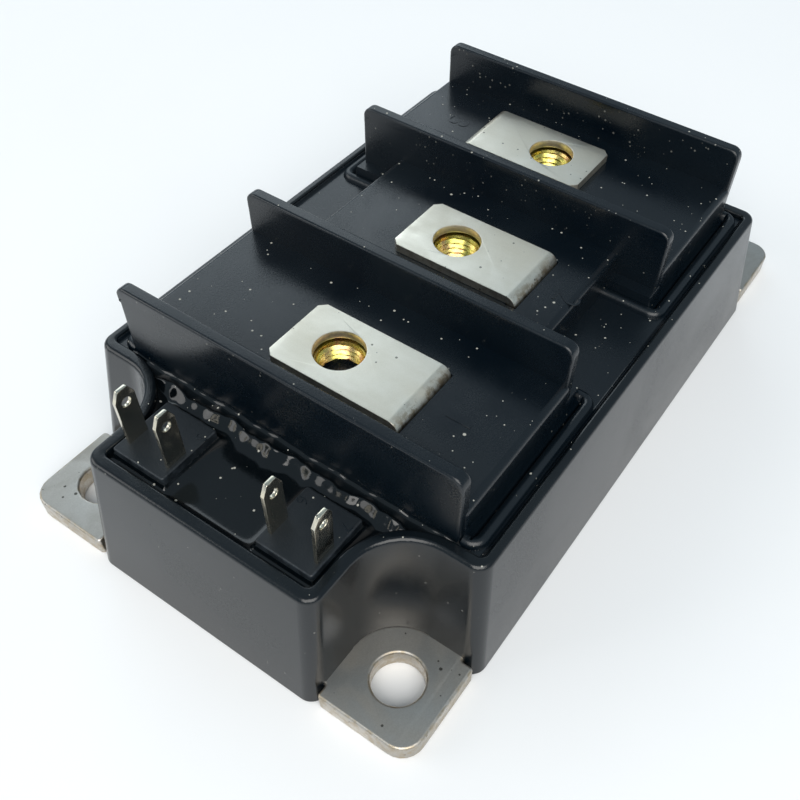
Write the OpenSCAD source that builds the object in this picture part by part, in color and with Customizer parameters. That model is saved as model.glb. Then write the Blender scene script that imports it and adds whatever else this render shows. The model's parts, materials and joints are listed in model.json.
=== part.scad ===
// Dual power transistor module: a plated base plate, a moulded frame and cover with four barrier
// ribs, three screw terminals on captive nuts, four signal tabs, and two switching arms inside.
// Millimetres. The origin is at the bottom centre of the base plate, +X runs away from the
// signal tabs, +Z is up.

/* [Base plate] */
// Length of the metal plate, over its ears
plate_l = 107; // [104:0.5:110]
// Width of the metal plate, over its ears
plate_w = 61; // [59:0.5:64]
// Thickness of the plate
plate_t = 3; // [2.8:0.1:3.4]
// Radius of the plate's corners
plate_corner_r = 3; // [1:0.5:5]
// How far the plate's edges step in where the frame wraps round them
plate_step = 1.7; // [1.5:0.1:2]
// Distance from the plate's ends to the axes of the mounting holes
mount_edge_x = 7; // [6.8:0.1:7.2]
// Distance from the plate's sides to the axes of the mounting holes
mount_edge_y = 6.5; // [6.3:0.1:6.7]
// Radius of a mounting hole
mount_r = 3.25; // [2.75:0.05:3.4]

/* [Frame] */
// How far the frame's foot stands out past the plate
frame_overhang = 0.5; // [0.3:0.1:0.8]
// Height of the frame's rim above the mounting face
frame_h = 19; // [18:0.1:21]
// How far the end walls lean in between foot and rim
end_draft = 2.8; // [2.4:0.1:3]
// How far the side walls lean in between foot and rim
side_draft = 2.2; // [1.8:0.1:2.4]
// Gap between the frame's foot and the mounting face
foot_gap = 0.3; // [0.1:0.05:0.5]
// Radius of the frame's upright corners
frame_corner_r = 2; // [1:0.25:2.5]
// Distance along X from a mounting hole's axis to the scoop's wall, at the plate
scoop_foot_x = 6.1; // [6:0.1:6.3]
// Distance along Y from a mounting hole's axis to the scoop's wall, at the plate
scoop_foot_y = 6.4; // [6.2:0.1:6.5]
// Distance along X from a mounting hole's axis to the scoop's wall, at the rim
scoop_top_x = 8.8; // [8.5:0.1:8.9]
// Distance along Y from a mounting hole's axis to the scoop's wall, at the rim
scoop_top_y = 7.4; // [7.1:0.1:7.5]
// Radius of a scoop's inner corner at the plate
scoop_foot_r = 6.2; // [5:0.1:6.4]
// Radius of a scoop's inner corner at the rim
scoop_top_r = 7; // [6:0.1:7.4]
// Thickness of the walls between scoops and cavity, at the rim
scoop_wall_t = 1.7; // [1.5:0.1:1.8]
// Thickness of the end walls at the rim
end_wall_t = 1.8; // [1.5:0.1:2]
// Thickness of the side walls at the rim, below the cover
side_wall_t = 2.4; // [2.2:0.1:2.6]
// Thickness of the side walls at the rim, beside the cover
recess_wall_t = 1.3; // [1.2:0.05:1.4]
// Radius of the cavity's wall round each mounting hole's axis
pocket_wall_r = 10.5; // [10.2:0.1:10.5]
// Thickness of the adhesive under the frame
adhesive_t = 0.15; // [0.1:0.05:0.3]
// How far the adhesive stays back from the edges above it
adhesive_inset = 0.6; // [0.4:0.1:0.8]

/* [Cover] */
// Clearance between the cover's ends and the frame
cover_clearance = 0.15; // [0.1:0.05:0.3]
// Clearance between the cover's flange and the frame's sides
flange_clearance = 0.2; // [0.1:0.05:0.3]
// How far the flange lies below the rim
flange_drop = 0.7; // [0.3:0.1:1]
// Thickness of the flange
flange_t = 1.7; // [1.5:0.1:2]
// Height of the platforms above the flange
platform_rise = 5; // [4.5:0.1:5.5]
// Distance from the flange's edge to the outer platforms
platform_margin = 2.8; // [2.75:0.05:3]
// How far the middle platform stands back from the outer ones
middle_setback = 6.5; // [6:0.1:7]
// Radius along a platform's long edges
platform_edge_r = 0.9; // [0.5:0.1:1.2]
// Height of the barrier ribs above the platforms
rib_rise = 6; // [5:0.1:7]
// Thickness of a rib
rib_t = 1.8; // [1.6:0.1:2]
// How far the ribs' ends stand back from the outer platforms
rib_setback = 0.2; // [0.1:0.05:0.4]
// Radius of a rib's top corners
rib_corner_r = 1.5; // [1:0.1:2]
// Distance of the inner ribs from the middle
inner_rib_x = 12.5; // [12.3:0.1:12.7]
// Radius of the raised bead round each outer platform
bead_r = 0.8; // [0.6:0.05:0.85]
// Distance from the flange's edge to the middle of the bead
bead_margin = 1; // [0.95:0.05:1.05]
// Distance from an inner rib to where the bead turns in
bead_turn = 3.3; // [3:0.1:3.6]
// Depth of the moat between bead and platform
moat_depth = 1.2; // [0.8:0.1:1.3]
// Width of the moat
moat_w = 0.9; // [0.7:0.05:0.95]
// Thickness of the platforms' walls and roof
shell_t = 2.2; // [1.8:0.1:2.4]
// Radius of the boss round each nut
boss_r = 7.6; // [7.2:0.1:7.8]
// Thickness of a boss's floor
boss_floor_t = 1; // [0.8:0.1:1.4]
// Room under a nut for the tip of its screw
screw_room = 3.4; // [3:0.1:3.6]

/* [Main terminals] */
// Distance from an outer terminal's screw axis to the end of the cover
terminal_end = 10.85; // [10.7:0.05:11]
// Width of a terminal
terminal_w = 10.8; // [10.4:0.1:11]
// Thickness of the terminal metal
terminal_t = 1.2; // [1:0.1:1.2]
// Reach of the free end past the screw axis
terminal_free = 6.9; // [6.5:0.1:7.2]
// Distance from the screw axis to the outer face of the upright
terminal_upright = 12.3; // [12.1:0.1:12.4]
// Outer radius of the bend
terminal_bend_r = 1.4; // [1.3:0.1:1.6]
// Cut at the free corners
terminal_cut = 0.9; // [0.5:0.1:1.2]
// Radius of the screw's clearance hole
terminal_hole_r = 3.2; // [3.1:0.05:3.4]
// Height above the substrate where an upright narrows to its foot
terminal_neck = 4.55; // [4:0.05:5]
// Width of an outer terminal's soldered foot
foot_w = 6; // [5:0.1:6.5]
// Width of the middle terminal's neck
middle_neck_w = 2; // [1.5:0.1:2.5]
// Reach of a foot beyond the upright
foot_reach = 5; // [4:0.1:5.5]
// Clearance round the uprights in the cover
slot_clearance = 0.15; // [0.1:0.01:0.2]
// Wall round the uprights' slots inside the cover
slot_wall = 1.25; // [1.1:0.05:1.4]

/* [Nuts] */
// Width of a nut across its flats
nut_flats = 10; // [9.8:0.1:10]
// Height of a nut
nut_h = 5; // [4.8:0.1:5.2]
// Radius of the tapped hole
nut_bore_r = 2.5; // [2.4:0.05:2.6]
// Clearance between a nut and its pocket
nut_clearance = 0.1; // [0.05:0.05:0.2]
// How far the nuts sit below the platforms
nut_drop = 0.3; // [0.1:0.05:0.5]

/* [Signal tabs] */
// Distance from the frame's end wall to the tab blocks
block_end_gap = 0.9; // [0.7:0.1:1.2]
// Distance from the pocket's side walls to the tab blocks
block_side_gap = 0.4; // [0.3:0.05:0.5]
// Length of a tab block
block_l = 8.8; // [8.6:0.1:9]
// Width of a tab block
block_w = 7.8; // [7.6:0.05:8]
// Height of the blocks' tops above the rim
block_rise = 0.4; // [0.2:0.1:0.8]
// Distance from a block's outer end to the middle of its tabs
tab_setback = 3; // [2.8:0.1:3.2]
// Distance from a block's outer side to its gate tab
gate_tab_edge = 1; // [0.9:0.05:1.1]
// Distance from a block's inner side to its emitter tab
emitter_tab_edge = 0.8; // [0.7:0.05:0.9]
// Width of a tab
tab_w = 2.8; // [2.6:0.1:3]
// Thickness of a tab
tab_t = 0.5; // [0.4:0.05:0.6]
// Height of a tab above its block
tab_h = 8; // [7:0.1:8.4]
// Length of the taper at a tab's tip
tab_taper = 1.4; // [1:0.1:1.8]
// Radius of the hole in a tab
tab_hole_r = 0.65; // [0.5:0.05:0.75]
// How far a tab reaches down into the gel
tab_root = 1; // [0.8:0.1:1.2]

/* [Filling] */
// Distance from the soft gel up to the bosses
gel_drop = 0.6; // [0.5:0.1:1]
// How far the hard resin in the end pockets lies below the rim
resin_drop = 1.7; // [1.4:0.1:2]

/* [Switching arms] */
// Gap between the two substrates
substrate_gap = 3; // [2.6:0.1:3.2]
// Distance from a substrate to the frame's cross walls
substrate_end_gap = 0.5; // [0.3:0.1:0.7]
// Distance from a substrate to the frame's side walls
substrate_side_gap = 3.4; // [3:0.1:4]
// Thickness of the substrate's solder
solder_t = 0.2; // [0.1:0.05:0.25]
// Thickness of the copper on each side of the ceramic
copper_t = 0.3; // [0.2:0.05:0.4]
// Thickness of the ceramic
ceramic_t = 0.65; // [0.5:0.05:0.7]
// Bare border round the copper
copper_margin = 1.5; // [1.2:0.1:1.6]
// Width of the gate track
gate_track_w = 2; // [1.8:0.1:2.2]
// Width of the emitter track
emitter_track_w = 4.5; // [4.2:0.1:5]
// Gap between neighbouring tracks
track_gap = 1; // [0.8:0.1:1.2]
// Side of a transistor chip
igbt_side = 9; // [8:0.1:9.4]
// Side of a diode chip
diode_side = 5.5; // [5.4:0.1:6]
// Thickness of a chip
chip_t = 0.3; // [0.2:0.05:0.4]
// Thickness of the solder under a chip
chip_solder_t = 0.1; // [0.05:0.05:0.15]
// Distance from the collector track's edge to the transistor chips
chip_margin = 0.8; // [0.6:0.1:1]
// Gap between a transistor chip and its diode
chip_gap = 1.2; // [1:0.1:1.4]
// Distance between the two pairs of chips
pair_pitch = 12; // [11.6:0.1:12.4]
// How far the pairs of chips stand off the centre line
pair_shift = 1.5; // [1.2:0.1:1.6]
// Radius of a power bond wire
wire_r = 0.2; // [0.15:0.01:0.22]
// Rise of a power bond wire
wire_rise = 2.2; // [1.6:0.1:2.4]
// Distance between neighbouring power wires
wire_pitch = 1.6; // [1.2:0.1:1.6]
// Power wires side by side on one chip
wires_per_chip = 4; // [3:1:4]
// Radius of a gate bond wire
gate_wire_r = 0.12; // [0.1:0.01:0.15]
// Rise of a gate bond wire
gate_wire_rise = 1; // [0.8:0.1:1.2]
// Length of a bond wire's flattened end
wire_foot = 1; // [0.8:0.1:1.2]
// How far the signal leads run below the gel's surface
lead_depth = 2; // [1.6:0.1:2.2]
// How far inside the cross wall the signal leads turn
lead_turn = 2; // [1.8:0.1:2.4]
// Width of a signal lead
lead_w = 1.2; // [1:0.1:1.4]
// Thickness of a signal lead
lead_t = 0.5; // [0.4:0.05:0.6]
// Distance from the signal leads down to the strap that joins the arms
strap_drop = 1.8; // [1.4:0.1:2.2]
// Width of the strap
strap_w = 3.8; // [3:0.1:4]
// Thickness of the strap
strap_t = 0.8; // [0.6:0.1:0.9]
// Distance of the strap from the centre line
strap_y = 13; // [12.6:0.1:13.4]
// Bare edge left round what is soldered on a track
land_margin = 0.4; // [0.2:0.1:0.6]

/* [Hidden] */
$fn = 64;
eps = 0.01;
hull_fn = 32;
wire_fn = 16;

// base plate and frame
mount_x = plate_l - 2*mount_edge_x;
mount_y = plate_w - 2*mount_edge_y;
frame_l = plate_l + 2*frame_overhang;
frame_w = plate_w + 2*frame_overhang;
frame_top_l = frame_l - 2*end_draft;
frame_top_w = frame_w - 2*side_draft;
side_foot_l = mount_x - 2*scoop_foot_x;
side_top_l = mount_x - 2*scoop_top_x;
end_foot_w = mount_y - 2*scoop_foot_y;
end_top_w = mount_y - 2*scoop_top_y;
cavity_x = side_top_l/2 - scoop_wall_t;
cavity_y = frame_top_w/2 - side_wall_t;
recess_y = frame_top_w/2 - recess_wall_t;
pocket_x = frame_top_l/2 - end_wall_t;
pocket_y = end_top_w/2 - scoop_wall_t;

// cover
cover_x = cavity_x - cover_clearance;
flange_y = recess_y - flange_clearance;
flange_top = frame_h - flange_drop;
flange_z = flange_top - flange_t;
platform_z = flange_top + platform_rise;
outer_platform_y = flange_y - platform_margin;
middle_platform_y = outer_platform_y - middle_setback;
rib_z = platform_z + rib_rise;
rib_y = outer_platform_y - rib_setback;
outer_rib_x = cover_x - rib_t/2;
bead_y = flange_y - bead_margin;
bead_turn_x = inner_rib_x - bead_turn;

// terminals, nuts and their bosses
terminal_pitch = cover_x - terminal_end;
terminal_top = platform_z + terminal_t;
nut_top = platform_z - nut_drop;
nut_floor = nut_top - nut_h;
screw_room_z = nut_floor - screw_room;
boss_z = screw_room_z - boss_floor_t;

// filling, tab blocks and tabs
gel_z = boss_z - gel_drop;
resin_z = frame_h - resin_drop;
block_z = frame_h + block_rise;
block_x0 = block_end_gap - pocket_x;
block_y1 = pocket_y - block_side_gap;
block_y0 = block_y1 - block_w;
tab_x = block_x0 + tab_setback;
tab_outer_y = block_y1 - gate_tab_edge;
tab_inner_y = block_y0 + emitter_tab_edge;
tab_foot_z = gel_z - tab_root;

// substrates, and the levels of the stack on the base plate
ceramic_l = cavity_x - substrate_end_gap - substrate_gap/2;
ceramic_w = 2*(cavity_y - substrate_side_gap);
arm_x = (substrate_gap + ceramic_l)/2;
back_copper_z = plate_t + solder_t;
ceramic_z = back_copper_z + copper_t;
track_z = ceramic_z + ceramic_t;
track_top = track_z + copper_t;
chip_z = track_top + chip_solder_t;
chip_top = chip_z + chip_t;
neck_z = track_top + terminal_neck;

// tracks and chips of arm 1, from the middle of its substrate; arm 2 is turned half a turn
track_x = ceramic_l/2 - copper_margin;
track_y = ceramic_w/2 - copper_margin;
collector_x0 = gate_track_w + track_gap - track_x;
emitter_x0 = track_x - emitter_track_w;
collector_x1 = emitter_x0 - track_gap;
igbt_x = collector_x0 + chip_margin + igbt_side/2;
diode_x = igbt_x + igbt_side/2 + chip_gap + diode_side/2;
pair_y = [pair_shift - pair_pitch/2, pair_shift + pair_pitch/2];

// where leads, feet and strap land, in the module's own frame
gate_pad_x = arm_x + track_x - gate_track_w/2;
emitter_near_x = arm_x - track_x;
sense_pad_x = emitter_near_x + emitter_track_w/2;
gate_lead_y = track_y - gate_track_w;
lead_z = gel_z - lead_depth;
lead_turn_x = cavity_x - lead_turn;
strap_z = lead_z - strap_drop;
land_l = emitter_track_w - 2*land_margin;

// ---------- shared shapes ----------

module rounded_rect(l, w, r) {
    square([l - 2*r, w], center = true);
    square([l, w - 2*r], center = true);
    for (sx = [-1, 1], sy = [-1, 1])
        translate([sx*(l/2 - r), sy*(w/2 - r)]) circle(r);
}

// a block whose four sides lean in, with rounded uprights
module tapered_block(l0, w0, l1, w1, z0, z1) {
    hull() {
        translate([0, 0, z0]) linear_extrude(eps) rounded_rect(l0, w0, frame_corner_r, $fn = hull_fn);
        translate([0, 0, z1 - eps]) linear_extrude(eps) rounded_rect(l1, w1, frame_corner_r, $fn = hull_fn);
    }
}

// extrudes a shape drawn in Y and Z along X, from x0 to x1
module along_x(x0, x1) {
    translate([x0, 0, 0]) rotate([90, 0, 90]) linear_extrude(x1 - x0) children();
}

module at_corners() {
    for (sx = [0, 1], sy = [0, 1]) mirror([sx, 0, 0]) mirror([0, sy, 0]) children();
}

module turned(half_turn) {
    rotate([0, 0, half_turn ? 180 : 0]) children();
}

// at the three terminals' screw axes; the third terminal is turned half a turn
module at_terminals() {
    for (i = [-1, 0, 1]) translate([i*terminal_pitch, 0, 0]) turned(i == 1) children();
}

// ---------- base plate ----------

module plate_outline(gap) {
    difference() {
        rounded_rect(plate_l + 2*gap, plate_w + 2*gap, plate_corner_r);
        for (s = [-1, 1]) {
            translate([s*(plate_l/2 - plate_step/2 + gap + eps), 0])
                square([plate_step + 2*eps, end_foot_w], center = true);
            translate([0, s*(plate_w/2 - plate_step/2 + gap + eps)])
                square([side_foot_l, plate_step + 2*eps], center = true);
        }
    }
}

module base_plate() {
    color("#aaa59e") difference() {
        linear_extrude(plate_t) plate_outline(0);
        at_corners() translate([mount_x/2, mount_y/2, -eps]) cylinder(h = plate_t + 2*eps, r = mount_r);
    }
}

// ---------- frame ----------

// the cavity between the side walls and the end walls, blended round the mounting holes
module cavity_outline() {
    square([2*cavity_x, 2*cavity_y], center = true);
    square([2*pocket_x, 2*pocket_y], center = true);
    at_corners() difference() {
        translate([cavity_x - scoop_wall_t, pocket_y - scoop_wall_t])
            square([mount_x/2 - cavity_x, mount_y/2 - pocket_y]);
        translate([mount_x/2, mount_y/2]) circle(pocket_wall_r);
    }
}

// a quarter plane beyond (x, y) with its inner corner rounded
module scoop_outline(x, y, r) {
    big = frame_l - x;
    translate([x + r, y + r]) circle(r);
    translate([x + r, y]) square([big, big]);
    translate([x, y + r]) square([big, big]);
}

// room for a mounting screw's head and its driver
module scoop() {
    hull() {
        translate([0, 0, plate_t]) linear_extrude(eps)
            scoop_outline(side_foot_l/2, end_foot_w/2, scoop_foot_r, $fn = hull_fn);
        translate([0, 0, frame_h]) linear_extrude(eps)
            scoop_outline(side_top_l/2, end_top_w/2, scoop_top_r, $fn = hull_fn);
    }
}

module frame() {
    spare = 0.1;
    foot_top = plate_t + adhesive_t;
    color("#23282d") difference() {
        union() {
            tapered_block(frame_l, end_foot_w + spare, frame_top_l, end_top_w + spare, foot_gap, frame_h);
            tapered_block(side_foot_l + spare, frame_w, side_top_l + spare, frame_top_w, foot_gap, frame_h);
            at_corners() translate([cavity_x, pocket_y, foot_top])
                cube([mount_x/2 - cavity_x, mount_y/2 - pocket_y, frame_h - foot_top]);
        }
        at_corners() scoop();
        translate([0, 0, -eps]) linear_extrude(foot_top + eps) plate_outline(slot_clearance);
        translate([0, 0, plate_t]) linear_extrude(frame_h) cavity_outline();
        translate([-cavity_x, -recess_y, flange_z]) cube([2*cavity_x, 2*recess_y, frame_h]);
    }
}

module frame_adhesive() {
    edge = plate_step + adhesive_inset;
    color("#d8d4c8") translate([0, 0, plate_t]) linear_extrude(adhesive_t) difference() {
        square([plate_l - 2*edge, plate_w - 2*edge], center = true);
        at_corners() scoop_outline(side_foot_l/2 - adhesive_inset, end_foot_w/2 - adhesive_inset,
            scoop_foot_r + adhesive_inset);
        cavity_outline();
    }
}

// ---------- cover ----------

// half section of a platform or rib: flat top, two rounded upper corners
module crowned(half_w, z0, z1, r) {
    translate([-half_w, z0]) square([2*half_w, z1 - z0 - r]);
    translate([r - half_w, z0]) square([2*(half_w - r), z1 - z0]);
    for (s = [-1, 1]) translate([s*(half_w - r), z1 - r]) circle(r);
}

module bead(side) {
    z = flange_top;
    translate([-cover_x + bead_r, side*bead_y, z]) {
        sphere(bead_r);
        rotate([0, 90, 0]) cylinder(h = cover_x - bead_r - bead_turn_x, r = bead_r);
    }
    translate([-bead_turn_x, side*bead_y, z]) {
        sphere(bead_r);
        rotate([side*90, 0, 0]) cylinder(h = bead_y - middle_platform_y - bead_r, r = bead_r);
    }
}

module moat(side) {
    translate([-cover_x - eps, side*(outer_platform_y + moat_w/2) - moat_w/2, flange_top - moat_depth])
        cube([cover_x - bead_turn_x - bead_r, moat_w, moat_depth + bead_r + eps]);
}

module nut_hex(flats, h) {
    rotate([0, 0, 30]) cylinder(h = h, r = flats/sqrt(3), $fn = 6);
}

// what is taken out of the cover for one terminal
module terminal_cuts() {
    translate([0, 0, nut_floor]) nut_hex(nut_flats + 2*nut_clearance, rib_z - nut_floor);
    translate([0, 0, screw_room_z]) cylinder(h = rib_z - screw_room_z, r = terminal_hole_r);
    translate([-terminal_w/2 - slot_clearance, -terminal_upright - slot_clearance, boss_z])
        cube([terminal_w + 2*slot_clearance, slot_clearance + terminal_bend_r, rib_z - boss_z]);
}

// hollow under a platform, with the nut's boss and the walls of the upright's slot left standing
module platform_hollow(x0, x1, half_y, terminal_x, half_turn) {
    wall = slot_clearance + slot_wall;
    difference() {
        translate([x0, -half_y + shell_t, flange_z - eps])
            cube([x1 - x0, 2*(half_y - shell_t), platform_z - shell_t - flange_z]);
        translate([terminal_x, 0, boss_z]) {
            cylinder(h = platform_z - boss_z, r = boss_r);
            turned(half_turn) translate([-terminal_w/2 - wall, -terminal_upright - wall, 0])
                cube([terminal_w + 2*wall, terminal_t + 2*wall, platform_z - boss_z]);
        }
    }
}

module cover() {
    rib_in = inner_rib_x - rib_t/2;
    rib_out = inner_rib_x + rib_t/2;
    color("#1d2227") difference() {
        union() {
            translate([-cover_x, -flange_y, flange_z]) cube([2*cover_x, 2*flange_y, flange_t]);
            for (s = [0, 1]) mirror([s, 0, 0]) {
                along_x(-cover_x, -inner_rib_x)
                    crowned(outer_platform_y, flange_z, platform_z, platform_edge_r);
                for (x = [outer_rib_x, inner_rib_x])
                    along_x(-x - rib_t/2, -x + rib_t/2) crowned(rib_y, flange_z, rib_z, rib_corner_r);
                for (side = [-1, 1]) bead(side);
            }
            along_x(-inner_rib_x, inner_rib_x)
                crowned(middle_platform_y, flange_z, platform_z, platform_edge_r);
            at_terminals() translate([0, 0, boss_z])
                cylinder(h = platform_z - boss_z - shell_t/2, r = boss_r);
        }
        for (s = [0, 1], side = [-1, 1]) mirror([s, 0, 0]) moat(side);
        at_terminals() terminal_cuts();
        platform_hollow(shell_t - cover_x, -rib_out, outer_platform_y, -terminal_pitch, false);
        platform_hollow(-rib_in, rib_in, middle_platform_y, 0, false);
        platform_hollow(rib_out, cover_x - shell_t, outer_platform_y, terminal_pitch, true);
    }
}

// ---------- terminals, nuts and tabs ----------

// side view of a main terminal: flat on the platform, bend, upright and soldered foot
module terminal_section() {
    bend_y = terminal_bend_r - terminal_upright;
    bend_z = terminal_top - terminal_bend_r;
    translate([bend_y, platform_z]) square([terminal_free - bend_y, terminal_t]);
    translate([bend_y, bend_z]) difference() {
        intersection() {
            circle(terminal_bend_r);
            translate([-terminal_bend_r, 0]) square(terminal_bend_r);
        }
        circle(terminal_bend_r - terminal_t);
    }
    translate([-terminal_upright, track_top]) square([terminal_t, bend_z - track_top]);
    translate([-terminal_upright - foot_reach, track_top]) square([foot_reach + eps, terminal_t]);
}

// below the neck's height the upright runs only from neck_x0 to neck_x1
module main_terminal(neck_x0, neck_x1) {
    reach = terminal_upright + foot_reach + eps;
    cut_side = terminal_cut*sqrt(2);
    color("#cfc8bc") difference() {
        along_x(-terminal_w/2, terminal_w/2) terminal_section();
        for (span = [[-terminal_w/2 - eps, neck_x0], [neck_x1, terminal_w/2 + eps]])
            translate([span[0], -reach, 0]) cube([span[1] - span[0], reach, neck_z]);
        translate([0, 0, platform_z - eps]) cylinder(h = terminal_t + 2*eps, r = terminal_hole_r);
        for (s = [-1, 1]) translate([s*terminal_w/2, terminal_free, platform_z + terminal_t/2])
            rotate([0, 0, 45]) cube([cut_side, cut_side, terminal_t + 2*eps], center = true);
    }
}

module end_terminal() {
    main_terminal(-foot_w/2, foot_w/2);
}

// the middle terminal stands over the gap between the arms, so its foot is to one side
module middle_terminal() {
    foot_x = emitter_near_x + land_margin;
    main_terminal(foot_x, foot_x + middle_neck_w);
    color("#cfc8bc") translate([foot_x, -terminal_upright - foot_reach, track_top])
        cube([land_l, foot_reach, terminal_t]);
}

module terminal_nut() {
    color("#c9b25a") translate([0, 0, nut_floor]) difference() {
        nut_hex(nut_flats, nut_h);
        translate([0, 0, -eps]) cylinder(h = nut_h + 2*eps, r = nut_bore_r);
    }
}

module tab_plate(y) {
    tip_z = block_z + tab_h;
    half = tab_w/2;
    translate([tab_x, y + tab_t/2, 0]) rotate([90, 0, 0]) linear_extrude(tab_t) difference() {
        polygon([
            [-half, tab_foot_z], [half, tab_foot_z], [half, tip_z - tab_taper],
            [half/2, tip_z], [-half/2, tip_z], [-half, tip_z - tab_taper]
        ]);
        translate([0, tip_z - tab_taper - tab_hole_r]) circle(tab_hole_r, $fn = 24);
    }
}

module signal_tab(y) {
    color("#cdc6ae") tab_plate(y);
}

module tab_block(side) {
    color("#1d2227") difference() {
        translate([block_x0, side > 0 ? block_y0 : -block_y1, gel_z])
            cube([block_l, block_w, block_z - gel_z]);
        for (y = [tab_inner_y, tab_outer_y]) tab_plate(side*y);
    }
}

// a strip that drops from a tab, runs along the module, steps sideways and drops onto its pad
module lead_strip(y0, turn_x, y1, pad_x) {
    z0 = lead_z - lead_t/2;
    module run(xa, xb, y) {
        translate([min(xa, xb) - lead_w/2, y - lead_w/2, z0]) cube([abs(xb - xa) + lead_w, lead_w, lead_t]);
    }
    color("#b87333") {
        translate([tab_x - lead_w/2, y0 - lead_t/2, z0]) cube([lead_w, lead_t, tab_foot_z - z0]);
        run(tab_x, turn_x, y0);
        translate([turn_x - lead_w/2, min(y0, y1) - lead_w/2, z0])
            cube([lead_w, abs(y1 - y0) + lead_w, lead_t]);
        run(turn_x, pad_x, y1);
        translate([pad_x - lead_w/2, y1 - lead_t/2, track_top]) cube([lead_w, lead_t, z0 + eps - track_top]);
    }
}

module gate_lead_1() { lead_strip(tab_outer_y, -gate_pad_x, tab_outer_y, -gate_pad_x); }
module emitter_lead_1() { lead_strip(tab_inner_y, -lead_turn_x, pair_shift, -sense_pad_x); }
module emitter_lead_2() { lead_strip(-tab_inner_y, -lead_turn_x, -pair_shift, sense_pad_x); }
module gate_lead_2() { lead_strip(-tab_outer_y, -lead_turn_x, -gate_lead_y, gate_pad_x); }

// ---------- switching arms ----------

module arm(half_turn) {
    turned(half_turn) translate([-arm_x, 0, 0]) children();
}

module layer(l, w, z, t) {
    translate([-l/2, -w/2, z]) cube([l, w, t]);
}

module track(x0, x1) {
    translate([x0, -track_y, track_z]) cube([x1 - x0, 2*track_y, copper_t]);
}

module substrate_solder() {
    color("#9a9a9c") layer(ceramic_l - copper_margin, ceramic_w - copper_margin, plate_t, solder_t);
}

module substrate_back_copper() {
    color("#b87333") layer(ceramic_l - copper_margin, ceramic_w - copper_margin, back_copper_z, copper_t);
}

module substrate_ceramic() {
    color("#f2f0ea") layer(ceramic_l, ceramic_w, ceramic_z, ceramic_t);
}

module collector_track() { color("#b87333") track(collector_x0, collector_x1); }
module emitter_track() { color("#b87333") track(emitter_x0, track_x); }
module gate_track() { color("#b87333") track(-track_x, gate_track_w - track_x); }

module chip(x, y, side) {
    color("#6f7680") translate([x, y, 0]) layer(side, side, chip_z, chip_t);
}

module chip_solder() {
    color("#9a9a9c") for (y = pair_y) {
        translate([igbt_x, y, 0]) layer(igbt_side, igbt_side, track_top, chip_solder_t);
        translate([diode_x, y, 0]) layer(diode_side, diode_side, track_top, chip_solder_t);
    }
}

// one wire from x0 to x1 at y: a low arc between two flattened ends that stand on za and zb
module bond_wire(x0, x1, y, r, rise, za, zb) {
    top = max(za, zb) + r;
    half = (x1 - x0)/2;
    arc_r = (half*half + rise*rise)/(2*rise);
    half_angle = acos((arc_r - rise)/arc_r);
    translate([x0 + half, y, 0]) {
        translate([0, 0, top + rise - arc_r]) rotate([90, 0, 0]) rotate([0, 0, 90 - half_angle])
            rotate_extrude(angle = 2*half_angle, $fn = 3*wire_fn)
                translate([arc_r, 0]) circle(r, $fn = wire_fn);
        for (end = [[-half, za], [half, zb]]) translate([end[0] - wire_foot/2, -r, end[1]])
            cube([wire_foot, 2*r, top + r/2 - end[1]]);
    }
}

module wire_rows(x0, x1, za, zb) {
    first = -(wires_per_chip - 1)/2*wire_pitch;
    color("#d9d9dc") for (y = pair_y, i = [0 : wires_per_chip - 1])
        bond_wire(x0, x1, y + first + i*wire_pitch, wire_r, wire_rise, za, zb);
}

// from the transistors to their diodes
module chip_wires() {
    wire_rows(igbt_x, diode_x - wire_foot, chip_top, chip_top);
}

// from the diodes to the emitter track
module emitter_wires() {
    wire_rows(diode_x + wire_foot, emitter_x0 + wire_foot, chip_top, track_top);
}

// from the gate track to the transistors
module gate_wires() {
    color("#d9d9dc") for (y = pair_y)
        bond_wire(gate_track_w/2 - track_x, igbt_x - igbt_side/2 + wire_foot, y,
            gate_wire_r, gate_wire_rise, track_top, chip_top);
}

// joins the emitter side of arm 1 to the collector side of arm 2
module arm_strap() {
    near_x = -emitter_near_x - land_margin;
    far_x = emitter_near_x + emitter_track_w + track_gap + land_margin;
    color("#b87333") translate([0, strap_y - strap_w/2, 0]) {
        translate([near_x - land_l, 0, track_top]) cube([land_l, strap_w, strap_t]);
        translate([near_x - strap_t, 0, track_top]) cube([strap_t, strap_w, strap_z - track_top]);
        translate([near_x - strap_t, 0, strap_z - strap_t])
            cube([far_x - near_x + 2*strap_t, strap_w, strap_t]);
        translate([far_x, 0, track_top]) cube([strap_t, strap_w, strap_z - track_top]);
        translate([far_x, 0, track_top]) cube([land_l, strap_w, strap_t]);
    }
}

// ---------- filling ----------

module uprights() {
    for (i = [-1, 1]) translate([i*terminal_pitch, 0, 0]) turned(i == 1) end_terminal();
    middle_terminal();
}

module leads() {
    gate_lead_1();
    emitter_lead_1();
    emitter_lead_2();
    gate_lead_2();
}

module arm_parts() {
    substrate_solder();
    substrate_back_copper();
    substrate_ceramic();
    collector_track();
    emitter_track();
    gate_track();
    chip_solder();
    for (y = pair_y) {
        chip(igbt_x, y, igbt_side);
        chip(diode_x, y, diode_side);
    }
    chip_wires();
    emitter_wires();
    gate_wires();
}

module tabs() {
    for (y = [-tab_outer_y, -tab_inner_y, tab_inner_y, tab_outer_y]) tab_plate(y);
}

module silicone_gel() {
    color("#cfe3ea") difference() {
        translate([0, 0, plate_t]) linear_extrude(gel_z - plate_t) cavity_outline();
        for (half_turn = [false, true]) arm(half_turn) arm_parts();
        uprights();
        leads();
        tabs();
        arm_strap();
    }
}

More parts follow.
